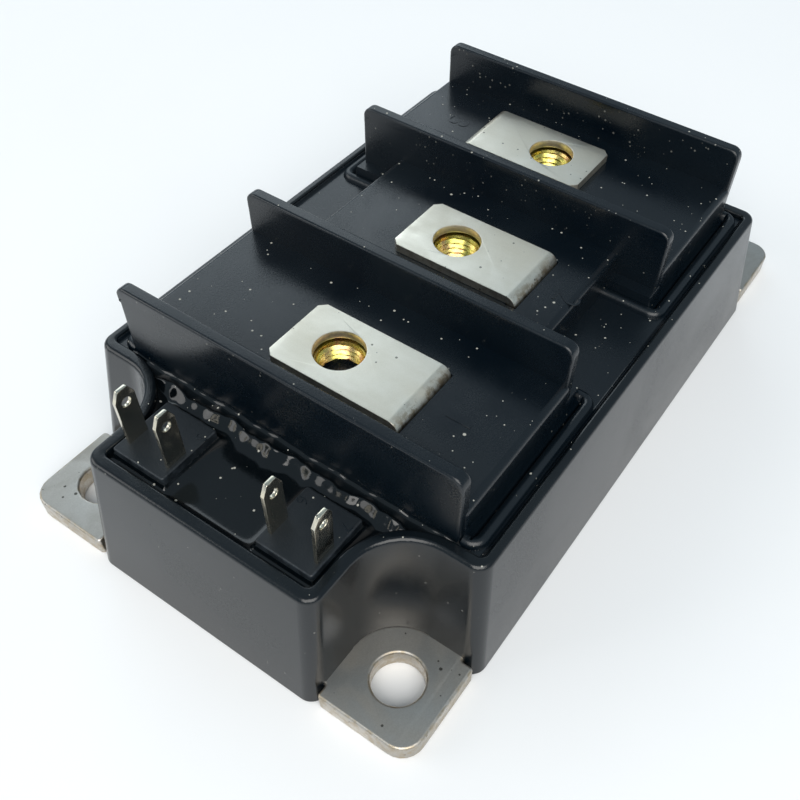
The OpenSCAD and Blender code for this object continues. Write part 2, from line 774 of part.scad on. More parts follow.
module potting_resin() {
    color("#1a1d20") difference() {
        union() {
            translate([0, 0, gel_z]) linear_extrude(flange_z - gel_z) cavity_outline();
            for (s = [0, 1]) mirror([s, 0, 0]) translate([cover_x, -pocket_y, gel_z])
                cube([pocket_x - cover_x, 2*pocket_y, resin_z - gel_z]);
        }
        at_terminals() translate([0, 0, boss_z]) cylinder(h = flange_z - boss_z + eps, r = boss_r);
        uprights();
        tabs();
        for (side = [0, 1]) mirror([0, side, 0]) translate([block_x0, block_y0, tab_foot_z])
            cube([block_l, block_w, block_z - tab_foot_z]);
    }
}

base_plate();
frame();
frame_adhesive();
cover();
tab_block(1);  // tab_block_1
tab_block(-1);  // tab_block_2
translate([-terminal_pitch, 0, 0]) end_terminal();  // main_terminal_1
middle_terminal();  // main_terminal_2
translate([terminal_pitch, 0, 0]) turned(true) end_terminal();  // main_terminal_3
translate([-terminal_pitch, 0, 0]) terminal_nut();  // terminal_nut_1
terminal_nut();  // terminal_nut_2
translate([terminal_pitch, 0, 0]) terminal_nut();  // terminal_nut_3
signal_tab(tab_outer_y);  // gate_tab_1
signal_tab(tab_inner_y);  // emitter_tab_1
signal_tab(-tab_inner_y);  // emitter_tab_2
signal_tab(-tab_outer_y);  // gate_tab_2
gate_lead_1();
emitter_lead_1();
emitter_lead_2();
gate_lead_2();
silicone_gel();
potting_resin();
arm_strap();
arm(false) substrate_solder();  // substrate_solder_1
arm(false) substrate_back_copper();  // substrate_back_copper_1
arm(false) substrate_ceramic();  // substrate_ceramic_1
arm(false) collector_track();  // collector_track_1
arm(false) emitter_track();  // emitter_track_1
arm(false) gate_track();  // gate_track_1
arm(false) chip(igbt_x, pair_y[0], igbt_side);  // igbt_chip_1a
arm(false) chip(igbt_x, pair_y[1], igbt_side);  // igbt_chip_1b
arm(false) chip(diode_x, pair_y[0], diode_side);  // diode_chip_1a
arm(false) chip(diode_x, pair_y[1], diode_side);  // diode_chip_1b
arm(false) chip_solder();  // chip_solder_1
arm(false) chip_wires();  // chip_wires_1
arm(false) emitter_wires();  // emitter_wires_1
arm(false) gate_wires();  // gate_wires_1
arm(true) substrate_solder();  // substrate_solder_2
arm(true) substrate_back_copper();  // substrate_back_copper_2
arm(true) substrate_ceramic();  // substrate_ceramic_2
arm(true) collector_track();  // collector_track_2
arm(true) emitter_track();  // emitter_track_2
arm(true) gate_track();  // gate_track_2
arm(true) chip(igbt_x, pair_y[0], igbt_side);  // igbt_chip_2a
arm(true) chip(igbt_x, pair_y[1], igbt_side);  // igbt_chip_2b
arm(true) chip(diode_x, pair_y[0], diode_side);  // diode_chip_2a
arm(true) chip(diode_x, pair_y[1], diode_side);  // diode_chip_2b
arm(true) chip_solder();  // chip_solder_2
arm(true) chip_wires();  // chip_wires_2
arm(true) emitter_wires();  // emitter_wires_2
arm(true) gate_wires();  // gate_wires_2
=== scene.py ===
# %% [markdown]
# # A dual power transistor module
# The object is a brick about as long as a hand is wide: a plated metal plate, a drafted black
# frame glued onto it, a black cover with four tall barrier ribs, three bent screw terminals over
# captive nuts, and four thin signal tabs that stand in two small blocks. Its sizes come from the
# packed construction, and this script gives it the shapes and finishes that the eye looks for.
#
# Nearly every piece is made by one of three methods: a stack of rings (a profile carried round a
# closed path), a height field over a grid, or a flat sheet that is rounded at its edges and then
# folded. All three are whole-array sums in numpy, so the same few lines serve many pieces.

import json
import math

import bpy
import numpy as np
from mathutils import Matrix, Vector
from mathutils.geometry import tessellate_polygon


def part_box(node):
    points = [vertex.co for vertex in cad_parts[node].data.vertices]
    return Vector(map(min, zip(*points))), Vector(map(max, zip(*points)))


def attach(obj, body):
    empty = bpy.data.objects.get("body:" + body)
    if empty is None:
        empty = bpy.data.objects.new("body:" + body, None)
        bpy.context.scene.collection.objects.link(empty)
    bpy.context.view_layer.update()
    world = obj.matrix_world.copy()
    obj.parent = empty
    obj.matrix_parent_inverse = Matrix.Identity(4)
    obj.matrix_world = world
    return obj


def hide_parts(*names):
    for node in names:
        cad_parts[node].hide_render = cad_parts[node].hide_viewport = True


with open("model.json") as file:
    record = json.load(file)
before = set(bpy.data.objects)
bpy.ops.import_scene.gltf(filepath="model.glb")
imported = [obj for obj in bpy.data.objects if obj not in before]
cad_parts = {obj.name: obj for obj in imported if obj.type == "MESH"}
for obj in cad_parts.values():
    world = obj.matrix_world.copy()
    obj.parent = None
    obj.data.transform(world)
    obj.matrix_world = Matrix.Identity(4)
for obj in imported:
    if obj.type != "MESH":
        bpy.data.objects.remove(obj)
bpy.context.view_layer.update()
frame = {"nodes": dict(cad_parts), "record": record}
MM = 0.001


def box(node):
    """Lowest and highest corner of a node, in millimetres."""
    low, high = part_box(node)
    return np.array(low) / MM, np.array(high) / MM


# %% [markdown]
# ## Camera
# The camera is made first, so that every later render shows the same view: from the end with the
# signal tabs, above the near corner. A camera is a position and three axes. Its own X points
# right in the picture, Y points up, and it looks along minus Z.

# %% Camera
camera_data = bpy.data.cameras.new("camera")
camera = bpy.data.objects.new("camera", camera_data)
bpy.context.collection.objects.link(camera)
right = Vector((0.56297, -0.82575, 0.03477)).normalized()
ahead = Vector((0.51863, 0.32021, -0.79277)).normalized()
up = right.cross(ahead).normalized()
turn = Matrix((right, up, -ahead)).transposed().to_4x4()
camera.matrix_world = Matrix.Translation(Vector((-0.080483, -0.048957, 0.099388))) @ turn
camera_data.sensor_width = 36
camera_data.lens = 39.85
camera_data.shift_x = -0.05
camera_data.shift_y = 0.075
camera_data.clip_start = 0.005
bpy.context.scene.camera = camera
print("camera at", [round(v, 4) for v in camera.location])

# %% [markdown]
# ## Stacking rings
# A wall, a rib or a nut can be seen as rings of points, one above another. Where every ring has
# as many points as the next, the faces between them follow by counting. This is the loft of a
# modelling program, written as one array of shape rings x points x 3.

# %% Ring stacks
def ring_faces(rings, points, closed=False, start=0):
    """Quads between neighbouring rings: corner (i, j) joins (i, j+1), (i+1, j+1) and (i+1, j)."""
    i = np.arange(rings if closed else rings - 1)[:, None]
    j = np.arange(points)[None, :]
    below, above, beside = i * points, ((i + 1) % rings) * points, (j + 1) % points
    return (np.stack([below + j, below + beside, above + beside, above + j], -1).reshape(-1, 4) + start)


def new_piece(name, points, faces, smooth=True, edge=None):
    """Makes a mesh object from points in millimetres and lists of corner numbers."""
    mesh = bpy.data.meshes.new(name)
    mesh.from_pydata((np.asarray(points) * MM).tolist(), [], [list(map(int, f)) for f in faces])
    mesh.validate()
    if edge is not None:
        mesh.attributes.new("edge", "FLOAT", "POINT").data.foreach_set("value", edge.astype(np.float32))
    piece = bpy.data.objects.new(name, mesh)
    bpy.context.collection.objects.link(piece)
    if smooth:
        mesh.polygons.foreach_set("use_smooth", [True] * len(mesh.polygons))
        mesh.set_sharp_from_angle(angle=math.radians(30))
        piece.modifiers.new("level flats", "WEIGHTED_NORMAL").keep_sharp = True
    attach(piece, "root")
    return piece


dressed = []


def stands_for(piece, slot, node):
    """The piece takes the place of that node of the construction, and its finish from that slot."""
    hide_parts(node)
    dressed.append((piece, slot))


def stack(name, rings, closed=False, caps=True, **more):
    """A closed skin from rings (count x points x 3); caps fill the first and last ring."""
    count, points = rings.shape[:2]
    faces = ring_faces(count, points, closed).tolist()
    if caps and not closed:
        faces.append(list(range(points))[::-1])
        faces.append(list(range((count - 1) * points, count * points)))
    return new_piece(name, rings.reshape(-1, 3), faces, **more)


# %% [markdown]
# ## Paths with rounded corners
# Most outlines here are straight lines with rounded corners, outward or inward. At each corner
# the arc's centre lies on the bisector, its radius divided by the sine of half the angle away
# from the corner, and the arc starts where the straight side touches it.

# %% Rounded paths
def rounded_path(corners, radii, steps=8):
    """Corner k becomes an arc of radii[k] that touches both neighbouring sides, as steps points."""
    p = np.asarray(corners, float)
    r = np.broadcast_to(np.asarray(radii, float), len(p))[:, None]
    to_last, to_next = np.roll(p, 1, 0) - p, np.roll(p, -1, 0) - p
    to_last /= np.linalg.norm(to_last, axis=1, keepdims=True)
    to_next /= np.linalg.norm(to_next, axis=1, keepdims=True)
    half = np.arccos(np.clip((to_last * to_next).sum(1, keepdims=True), -1, 1)) / 2
    middle = to_last + to_next
    middle /= np.linalg.norm(middle, axis=1, keepdims=True)
    centre = p + middle * r / np.sin(half)
    start, end = p + to_last * r / np.tan(half), p + to_next * r / np.tan(half)
    a0 = np.arctan2(*(start - centre)[:, ::-1].T)
    a1 = np.arctan2(*(end - centre)[:, ::-1].T)
    sweep = (a1 - a0 + np.pi) % (2 * np.pi) - np.pi
    t = np.linspace(0, 1, steps)
    a = a0[:, None] + sweep[:, None] * t
    return (centre[:, None, :] + r[:, :, None] * np.stack([np.cos(a), np.sin(a)], -1)).reshape(-1, 2)


def inward(path, distance):
    """Moves each point of a counter-clockwise path inwards, along the mean of its sides' normals."""
    side = np.roll(path, -1, 0) - path
    length = np.linalg.norm(side, axis=1, keepdims=True)
    n = np.stack([-side[:, 1], side[:, 0]], 1) / np.maximum(length, 1e-9)
    n = np.where(length < 1e-6, np.roll(n, -1, 0), n)
    before = np.roll(n, 1, 0)
    mean = n + before
    mean /= np.maximum((mean * n).sum(1, keepdims=True), 0.3)
    return path + mean * distance


# %% [markdown]
# ## The frame
# The frame is moulded, so its walls lean in towards the rim and every edge is soft. Each corner is
# scooped out to let a screwdriver reach the mounting screw. Two outlines are drawn, one at the
# foot and one at the rim, with as many points each. A point of the wall at some height lies on the
# straight line between its two partners, which gives the draft. The rim rounds over, and the inner
# wall goes down again, so that one closed band of rings makes the whole frame.

# %% Frame
plate_low, plate_high = box("base_plate")
frame_low, frame_high = box("frame")
cover_low, cover_high = box("cover")
holes = next(m["dims"] for m in frame["record"]["mounts"] if m["name"] == "mounting_holes")
hole_x, hole_y = holes["spacing_x_mm"] / 2, holes["spacing_y_mm"] / 2
rim_z = frame_high[2]


def frame_outline(end, end_y, side_x, side, scoop_r, corner_r=2.0):
    """Twelve corners, counter-clockwise: each end wall, each side wall, and four scoops between."""
    quarter = [(end, end_y), (side_x, end_y), (side_x, side)]
    corners = (quarter + [(-x, y) for x, y in quarter[::-1]]
               + [(-x, -y) for x, y in quarter] + [(x, -y) for x, y in quarter[::-1]])
    return rounded_path(corners, [corner_r, scoop_r, corner_r] * 4, 10)


def frame_rings(wrap_z=3.15, lip=0.55, wall_rings=8):
    """Point(u, z) = foot(u) + (rim(u) - foot(u)) * height share, then over the lip and down inside."""
    foot = frame_outline(54, 17.6, 40.4, 31, 6.2)
    rim = frame_outline(51.2, 16.6, 37.7, 28.8, 7.0)
    inner = frame_outline(49.4, 14.9, 36.0, 27.5, 9.2, 0.7)
    on_plate = (np.abs(foot[:, 0]) < 51.9) & (np.abs(foot[:, 1]) < 28.9)
    foot_z = np.where(on_plate, wrap_z, frame_low[2])

    def wall(z):
        share = (z - frame_low[2]) / (rim_z - frame_low[2])
        return foot + (rim - foot) * share[:, None]

    def ring(path, z):
        return np.column_stack([path, z])

    rings = [ring(wall(foot_z), foot_z)]
    for t in np.linspace(0, 1, wall_rings)[1:]:
        z = foot_z + (rim_z - lip - foot_z) * t
        rings.append(ring(wall(z), z))
    for a in np.linspace(0, np.pi / 2, 7)[1:]:
        z = np.full(len(foot), rim_z - lip + lip * np.sin(a))
        rings.append(ring(inward(wall(z), lip * (1 - np.cos(a))), z))
    for a in np.linspace(np.pi / 2, 0, 6):
        r = 0.4
        z = np.full(len(foot), rim_z - r + r * np.sin(a))
        rings.append(ring(inward(inner, -r * (1 - np.cos(a))), z))
    deep = np.full(len(foot), wrap_z)
    rings.append(ring(inner, deep))
    rings.append(ring(inward(wall(deep), 2.05), deep))
    rings.append(ring(inward(wall(foot_z), 2.05), foot_z))
    return np.array(rings)


frame_piece = stack("frame_moulding", frame_rings(), closed=True)
stands_for(frame_piece, "frame_plastic", "frame")
print("frame:", len(frame_piece.data.polygons), "faces")

# %% [markdown]
# ## Sheets with soft edges
# The base plate, the terminals and the tabs are all cut from sheet metal. A sheet is its outline,
# its holes and its thickness. Each outline is repeated as rings that round over both edges, and
# the two flat sides are filled between outline and holes. A bent part is cut flat first and folded
# after: each point keeps its width, and its length along the strip is wound round the bends.

# %% Sheet parts
def edge_profile(thickness, radius, steps=4):
    """Inset and height of each ring from the lower face to the upper one, as quarter circles."""
    a = np.linspace(0, np.pi / 2, steps)
    inset = radius * (1 - np.sin(a))
    height = -thickness / 2 + radius * (1 - np.cos(a))
    return np.concatenate([inset, inset[::-1]]), np.concatenate([height, -height[::-1]])


def sheet(name, outer, holes=(), thickness=1.0, radius=0.15, fold=None, lines=(), steps=4, worn=None):
    """A flat part with rounded edges. lines are places along its length where the fills are cut."""
    inset, height = edge_profile(thickness, radius, steps)
    points, faces, first = [], [], []
    for k, loop in enumerate([outer, *holes]):
        loop = np.asarray(loop, float)
        n = len(loop)
        start = sum(len(p) for p in points)
        first.append((start, n))
        rings = [np.column_stack([inward(loop, d), np.full(n, h)]) for d, h in zip(inset, height)]
        points.append(np.concatenate(rings))
        faces += ring_faces(len(rings), n, start=start).tolist()
    flat = np.concatenate(points)
    bands = list(zip([-1e9, *lines], [*lines, 1e9]))
    for top in (True, False):
        loops = [np.arange(n) + s + (n * (len(inset) - 1) if top else 0) for s, n in first]
        for lo, hi in bands:
            along = flat[loops[0], 1]
            part = loops[0][(along > lo - 0.01) & (along < hi + 0.01)]
            inside = [q for q in loops[1:] if flat[q, 1].min() > lo and flat[q, 1].max() < hi]
            chain = np.concatenate([part, *inside])
            fill = tessellate_polygon([[Vector((*flat[v, :2], 0)) for v in q] for q in (part, *inside)])
            for tri in fill:
                a, b, c = flat[chain[list(tri)], :2]
                turn = (b[0] - a[0]) * (c[1] - a[1]) - (b[1] - a[1]) * (c[0] - a[0])
                tri = chain[list(tri)].tolist()
                faces.append(tri if (turn > 0) == top else tri[::-1])
    rim = np.concatenate([np.repeat(np.isin(np.arange(len(inset)), np.arange(1, len(inset) - 1)), n)
                          for _, n in first]).astype(float)
    if worn is not None:
        rim = worn(flat, rim)
    return new_piece(name, flat if fold is None else fold(flat), faces, edge=rim)


def circle(x, y, r, n=48, clockwise=True):
    """A ring of n points; holes run clockwise, so that their inside counts as outside."""
    a = np.linspace(0, 2 * np.pi, n, endpoint=False) * (-1 if clockwise else 1)
    return np.column_stack([x + r * np.cos(a), y + r * np.sin(a)])


# %% Base plate
def plate_outline(step=1.7):
    """The plate's outline: it steps in along its ends and sides, where the frame wraps round it."""
    x1, y1 = plate_high[:2]
    quarter = [(x1 - step, 17.6), (x1, 17.6), (x1, y1), (40.4, y1), (40.4, y1 - step)]
    corners = (quarter + [(-x, y) for x, y in quarter[::-1]]
               + [(-x, -y) for x, y in quarter] + [(x, -y) for x, y in quarter[::-1]])
    return rounded_path(corners, [0.3, 0.5, 3.0, 0.5, 0.3] * 4, 7)


plate = sheet(
    "base_plate_metal", plate_outline(),
    [circle(sx * hole_x, sy * hole_y, holes["hole_r_mm"]) for sx in (-1, 1) for sy in (-1, 1)],
    plate_high[2], 0.35, fold=lambda p: p + [0, 0, plate_high[2] / 2], steps=5)
stands_for(plate, "plated_base", "base_plate")
print("base plate:", len(plate.data.polygons), "faces")

# %% [markdown]
# ## The cover
# The cover is one moulding on the real module. Here its parts are made by what they are: a flange
# with a raised bead and a moat, three platforms, and four ribs. The flange is a height field, the
# surface that a depth map describes: for each place on a grid the height is a sum of a plane, a
# half-round bead and a groove. The grid lines lie closer together where the bead turns.

# %% Flange with bead and moat
flange_z = 18.3


def spaced(*stops):
    """Grid lines from (start, spacing), (start, spacing) ... to a last single value."""
    out = [np.arange(a, b, s) for (a, s), (b, _) in zip(stops, stops[1:])]
    return np.unique(np.round(np.concatenate([*out, [stops[-1][0]]]), 4))


def mirrored(lines):
    """The same grid lines on both sides of zero."""
    return np.unique(np.concatenate([-lines, lines]))


def height_block(name, xs, ys, height, bottom, half_width=None, **more):
    """A solid under z = height(x, y); with half_width(x), ys run from -1 to 1 across that width."""
    x, y = np.meshgrid(xs, ys, indexing="ij")
    if half_width is not None:
        y = y * half_width(x)
    top = np.stack([x, y, height(x, y)], -1)
    nx, ny = x.shape
    faces = []
    i, j = np.meshgrid(np.arange(nx - 1), np.arange(ny - 1), indexing="ij")
    faces += np.stack([i * ny + j, (i + 1) * ny + j, (i + 1) * ny + j + 1, i * ny + j + 1], -1).reshape(-1, 4).tolist()
    border = np.concatenate([np.arange(nx) * ny, (nx - 1) * ny + np.arange(1, ny),
                             np.arange(nx - 2, -1, -1) * ny + ny - 1, np.arange(ny - 2, 0, -1)])
    low = top.reshape(-1, 3)[border].copy()
    low[:, 2] = bottom
    n, base = len(border), nx * ny
    k = np.arange(n)
    faces += np.stack([border, base + k, base + (k + 1) % n, border[(k + 1) % n]], -1).tolist()
    faces.append((base + k)[::-1].tolist())
    return new_piece(name, np.concatenate([top.reshape(-1, 3), low]), faces, **more)


def flange_height(x, y):
    """Plane + half circle on the bead's line - V groove of the moat + coves that run up at both sides."""
    ax, ay = np.abs(x), np.abs(y)
    bead_y, bead_r, turn_in, turn_out, corner = 26.15, 0.78, 9.2, 35.0, 1.3
    # distance to the bead's line, a box with rounded corners that is open towards the middle
    dx = np.maximum(turn_in + corner - ax, ax - turn_out + corner)
    dy = ay - bead_y + corner
    line = np.hypot(np.maximum(dx, 0), np.maximum(dy, 0)) + np.minimum(np.maximum(dx, dy), 0) - corner
    line = np.where((ay < 18) | ((ax > 20) & (ay < 24.4)), 9.0, np.abs(line))
    bead = 0.85 * np.sqrt(np.clip(1 - (line / bead_r) ** 2, 0, 1))
    along = (ax > turn_in + 0.6) & (ax < turn_out)
    moat = np.where(along, 0.5 * np.clip(1 - np.abs(ay - 25.2) / 0.16, 0, 1), 0)
    cove = np.where(along, 2.1 * np.clip((25.1 - ay) / 0.7, 0, 1) ** 2.2, 0)
    lip = 0.42 * np.clip((ay - 26.95) / 0.45, 0, 1) ** 2
    return flange_z + np.maximum.reduce([bead, cove, lip]) - moat


flange = height_block(
    "cover_flange",
    mirrored(spaced((0, 1.5), (7.5, 0.1), (12.0, 1.0), (33.2, 0.1), (35.85, 1))),
    mirrored(spaced((0, 3), (17.9, 0.1), (18.3, 0.6), (24.0, 0.07), (27.45, 1))),
    flange_height, cover_low[2] + 3.0)
stands_for(flange, "cover_plastic", "cover")
print("flange:", len(flange.data.polygons), "faces")

# %% [markdown]
# ### Platforms
# A platform is a block with rounded long edges, pierced by the six-sided pocket of a nut and by
# the slot of a terminal's upright. It is a thick sheet with two holes. Its ends reach a little
# into the ribs on both sides, so that their rounding is hidden there.

# %% Platforms
platform_z = 23.3
terminals = []
for k in (1, 2, 3):
    low, high = box(f"main_terminal_{k}")
    nut_low, nut_high = box(f"terminal_nut_{k}")
    middle = (nut_low + nut_high) / 2
    terminals.append((middle[0], -1 if k == 3 else 1, low, high))


def rectangle(x0, x1, y0, y1):
    return np.array([(x0, y0), (x1, y0), (x1, y1), (x0, y1)], float)


def hexagon(x, y, flats):
    """Six corners, clockwise, with flats that face plus and minus X."""
    a = np.radians(np.arange(30, 390, 60))[::-1]
    return np.column_stack([x + flats / np.sqrt(3) * np.cos(a), y + flats / np.sqrt(3) * np.sin(a)])


def platform_rings(name, x0, x1, half_y, terminal, edge_r=0.9):
    """As a sheet, but only the outer top edge is rounded; the holes' edges stay crisp."""
    x, way, low, high = terminal
    inset, height = edge_profile(platform_z - 15.0, edge_r, 6)
    keep = len(inset) // 2
    inset = np.concatenate([[0], inset[keep:]])
    height = np.concatenate([[-(platform_z - 15.0) / 2], height[keep:]]) + (platform_z + 15.0) / 2
    outer = rounded_path(rectangle(x0, x1, -half_y, half_y), 0.95, 6)
    slot = rectangle(x - 5.55, x + 5.55, *((-12.45, -10.9) if way > 0 else (10.9, 12.45)))[::-1]
    rings = [np.column_stack([inward(outer, d), np.full(len(outer), h)]) for d, h in zip(inset, height)]
    n = len(outer)
    points, faces = [np.concatenate(rings)], ring_faces(len(rings), n).tolist()
    tops, lows = [np.arange(n) + n * (len(rings) - 1)], [np.arange(n)]
    for hole in (hexagon(x, 0, 10.2), slot):
        start, m = sum(map(len, points)), len(hole)
        points.append(np.concatenate([np.column_stack([hole, np.full(m, 15.0)]),
                                      np.column_stack([hole, np.full(m, platform_z)])]))
        faces += ring_faces(2, m, start=start).tolist()
        lows.append(np.arange(m) + start)
        tops.append(np.arange(m) + start + m)
    points = np.concatenate(points)
    for loops, up_side in ((tops, True), (lows, False)):
        chain = np.concatenate(loops)
        for tri in tessellate_polygon([[Vector((*points[v, :2], 0)) for v in q] for q in loops]):
            a, b, c = points[chain[list(tri)], :2]
            turn = (b[0] - a[0]) * (c[1] - a[1]) - (b[1] - a[1]) * (c[0] - a[0])
            tri = chain[list(tri)].tolist()
            faces.append(tri if (turn > 0) == up_side else tri[::-1])
    return new_piece(name, points, faces)


cover_pieces = [flange]
for k, (x0, x1, half_y) in enumerate([(-35.2, -12.2, 24.5), (-12.8, 12.8, 18.0), (12.2, 35.2, 24.5)]):
    piece = platform_rings(f"cover_platform_{k + 1}", x0, x1, half_y, terminals[k])
    stands_for(piece, "cover_plastic", "cover")
    cover_pieces.append(piece)

# %% [markdown]
# ### Nut seats
# Under each nut the cover has a round boss with a blind hole for the screw's tip. It is turned:
# a half profile of radius and height goes once round the axis.

# %% Nut seats
def turned(name, x, y, profile, n=48, **more):
    """Point (a, k) = axis + radius[k] in direction a, at height[k]; the profile closes on itself."""
    r, z = np.asarray(profile, float).T
    a = np.linspace(0, 2 * np.pi, n, endpoint=False)
    rings = np.stack([x + r[:, None] * np.cos(a), y + r[:, None] * np.sin(a), np.repeat(z[:, None], n, 1)], -1)
    return stack(name, rings, closed=True, **more)


for k, (x, way, low, high) in enumerate(terminals):
    piece = turned(f"cover_nut_seat_{k + 1}", x, 0, [
        (0.02, 13.6), (7.6, 13.6), (7.6, 18.0), (3.2, 18.0), (3.2, 14.6), (0.02, 14.6)])
    stands_for(piece, "cover_plastic", "cover")
    cover_pieces.append(piece)

# %% [markdown]
# ### Barrier ribs
# A rib is a thin upright slab that keeps two terminals' sparks apart. Its cross-section, a slightly
# tapered strip with a rounded top, is carried along the module's width. Towards both ends the strip
# gets lower and thinner along a quarter circle, which rounds the upper corners and the end edges.
# The mould parts just under the top of the first rib, which leaves a fine step along its outer face.

# %% Ribs
def rib(name, x_middle, half_y=24.3, low=16.7, thickness=1.8, edge_r=0.36, corner_r=1.5, step=0.0):
    """Point(v, u) = section(u) narrowed and lowered by the quarter circles of the distance to the end v."""
    high = cover_high[2]
    ends = np.concatenate([corner_r * (1 - np.cos(np.linspace(0, np.pi / 2, 14))), edge_r * np.array([0.03, 0.15, 0.4, 0.7])])
    ends = np.unique(np.round(ends, 4))
    v = np.concatenate([-half_y + ends, np.linspace(-half_y + corner_r, half_y - corner_r, 60)[1:-1], half_y - ends[::-1]])
    away = half_y - np.abs(v)
    round_edge = edge_r - np.sqrt(np.maximum(edge_r ** 2 - np.clip(edge_r - away, 0, None) ** 2, 0))
    round_corner = corner_r - np.sqrt(np.maximum(corner_r ** 2 - np.clip(corner_r - away, 0, None) ** 2, 0))
    arc = np.linspace(0, np.pi / 2, 6)
    half = thickness / 2
    rings = []
    for y, narrow, lower in zip(v, round_edge, round_corner):
        top = high - lower
        foot, neck = half - narrow, half - narrow - 0.05
        r = min(edge_r, neck * 0.9)
        right = np.column_stack([neck - r + r * np.cos(arc), top - r + r * np.sin(arc)])
        left = np.column_stack([-neck + r - r * np.cos(arc), top - r + r * np.sin(arc)])[::-1]
        # the parting step: full thickness above it, a hair less below
        wave = 1.15 + 0.25 * np.clip((y + 13) / 6, 0, 1)
        side = [(-neck, top - wave), (-neck + step, top - wave - 0.14), (-foot + step * 0.4, low)]
        section = np.concatenate([[(foot, low)], right, left, side])
        rings.append(np.column_stack([x_middle + section[:, 0], np.full(len(section), y), section[:, 1]]))
    return stack(name, np.array(rings)[::-1])


for k, x_middle in enumerate((-34.95, -12.5, 12.5, 34.95)):
    piece = rib(f"cover_rib_{k + 1}", x_middle, step=0.16 if k == 0 else 0.03)
    stands_for(piece, "cover_plastic", "cover")
    cover_pieces.append(piece)
print("cover:", len(cover_pieces), "pieces")

# %% [markdown]
# ## Resin
# The end pockets are filled with a hard resin that was poured in as a liquid. It climbs every wall
# it touches: the rise falls off as an exponential of the distance to the wall. Distances to boxes
# and circles are short sums, and the union of two regions takes the larger of them.

# %% Resin
resin_z = 17.3


def box_distance(x, y, x0, x1, y0, y1):
    """Distance from a rectangle, zero inside it."""
    dx = np.maximum(np.maximum(x0 - x, x - x1), 0)
    dy = np.maximum(np.maximum(y0 - y, y - y1), 0)
    return np.hypot(dx, dy)


def resin_height(x, y):
    """Level + climb exp(-distance / reach) at the walls and blocks + a ledge that ends in a wavy crest."""
    ax = np.abs(x)
    ay = np.abs(y)
    to_end = np.maximum(49.4 - ax, 0)
    to_rib = np.maximum(ax - 35.85, 0)
    to_side = np.maximum(np.maximum(14.9 - ay, np.hypot(ax - 45.2, ay - 24.1) - 9.2), 0)
    climb = 0.62 * np.exp(-to_end / 0.55) + 0.55 * np.exp(-to_side / 0.6)
    sway = 0.22 * np.sin(y * 0.62 + 0.4) + 0.12 * np.sin(y * 1.31 + 2.1) + 0.05 * np.sin(y * 3.3)
    crest_at = 1.35 + sway
    crest_high = 1.05 + 0.14 * np.sin(y * 0.81 + 1.2) + 0.06 * np.sin(y * 2.2)
    ledge = crest_high - 0.16 + 0.25 * np.exp(-to_rib / 0.25) + 0.16 * np.exp(-((to_rib - crest_at) / 0.28) ** 2)
    slope = crest_high * np.exp(-np.abs((to_rib - crest_at) / 0.95) ** 1.5)
    shore = np.where(to_rib < crest_at, ledge, slope)
    blocks = np.minimum(box_distance(x, y, -48.5, -39.7, 6.7, 14.5), box_distance(x, y, -48.5, -39.7, -14.5, -6.7))
    return resin_z + np.maximum(climb, shore) + 0.95 * np.exp(-blocks / 0.5)


def pocket_half_width(x):
    """Straight beside the blocks; near the cover it follows the arc of the wall round the scoop."""
    ax = np.abs(x)
    arc = 24.1 - np.sqrt(np.maximum(9.2 ** 2 - (ax - 45.2) ** 2, 0))
    return np.where(ax > 45.2, 14.9, np.where(ax < 36.0, 24.1, arc)) + 0.5


for k, side in enumerate((-1, 1)):
    xs = spaced((35.6, 0.07), (38.6, 0.16), (49.7, 1)) * side
    piece = height_block(f"resin_pocket_{k + 1}", np.sort(xs), np.linspace(-1, 1, 420), resin_height, 13.0,
                         pocket_half_width)
    stands_for(piece, "resin", "potting_resin")
print("resin:", len(piece.data.polygons), "faces a pocket")

# %% [markdown]
# ## Tab blocks
# Two small blocks stand in the resin and hold the signal tabs. Each is a sheet as thick as it is
# high, with soft edges.

# %% Tab blocks
for k in (1, 2):
    low, high = box(f"tab_block_{k}")
    piece = sheet(f"tab_block_body_{k}", rounded_path(rectangle(low[0], high[0], low[1], high[1]), 0.35, 5),
                  [], high[2] - low[2], 0.22, fold=lambda p: p + [0, 0, (low[2] + high[2]) / 2])
    stands_for(piece, "cover_plastic", f"tab_block_{k}")

# %% [markdown]
# ## Main terminals
# A main terminal is one strip of plated copper: a flat end with a screw hole and two cut corners,
# a tight bend over the platform's edge, a narrower leg down through the cover, and a second bend
# to its soldered foot. It is cut flat here, then folded.

# %% Main terminals
def strip_fold(x, way, top_z, bend_y, foot_z, thickness=1.2, bend=0.8):
    """Winds the strip's length s round two bends; w is width and h the height over its middle."""
    arc = bend * np.pi / 2
    s1 = 6.9 - bend_y
    s2 = s1 + arc
    leg = top_z - foot_z - thickness - 2 * bend
    s3 = s2 + leg
    s4 = s3 + arc
    mid = top_z - thickness / 2

    def fold(p):
        w, s, h = p.T
        a = np.clip((s - s1) / bend, 0, np.pi / 2)
        b = np.clip((s - s3) / bend, 0, np.pi / 2)
        y = 6.9 - np.minimum(s, s1) - (bend + h) * np.sin(a)
        z = mid - bend + (bend + h) * np.cos(a) - np.clip(s - s2, 0, leg)
        # second bend, the other way: its centre lies outside the leg
        cy, cz = bend_y - 2 * bend, mid - bend - leg
        y2 = cy + (bend - h) * np.cos(b) - np.maximum(s - s4, 0)
        z2 = cz - (bend - h) * np.sin(b)
        far = s > s3
        return np.column_stack([x + way * w, way * np.where(far, y2, y), np.where(far, z2, z)])

    return fold, (s1, s2, s3, s4)


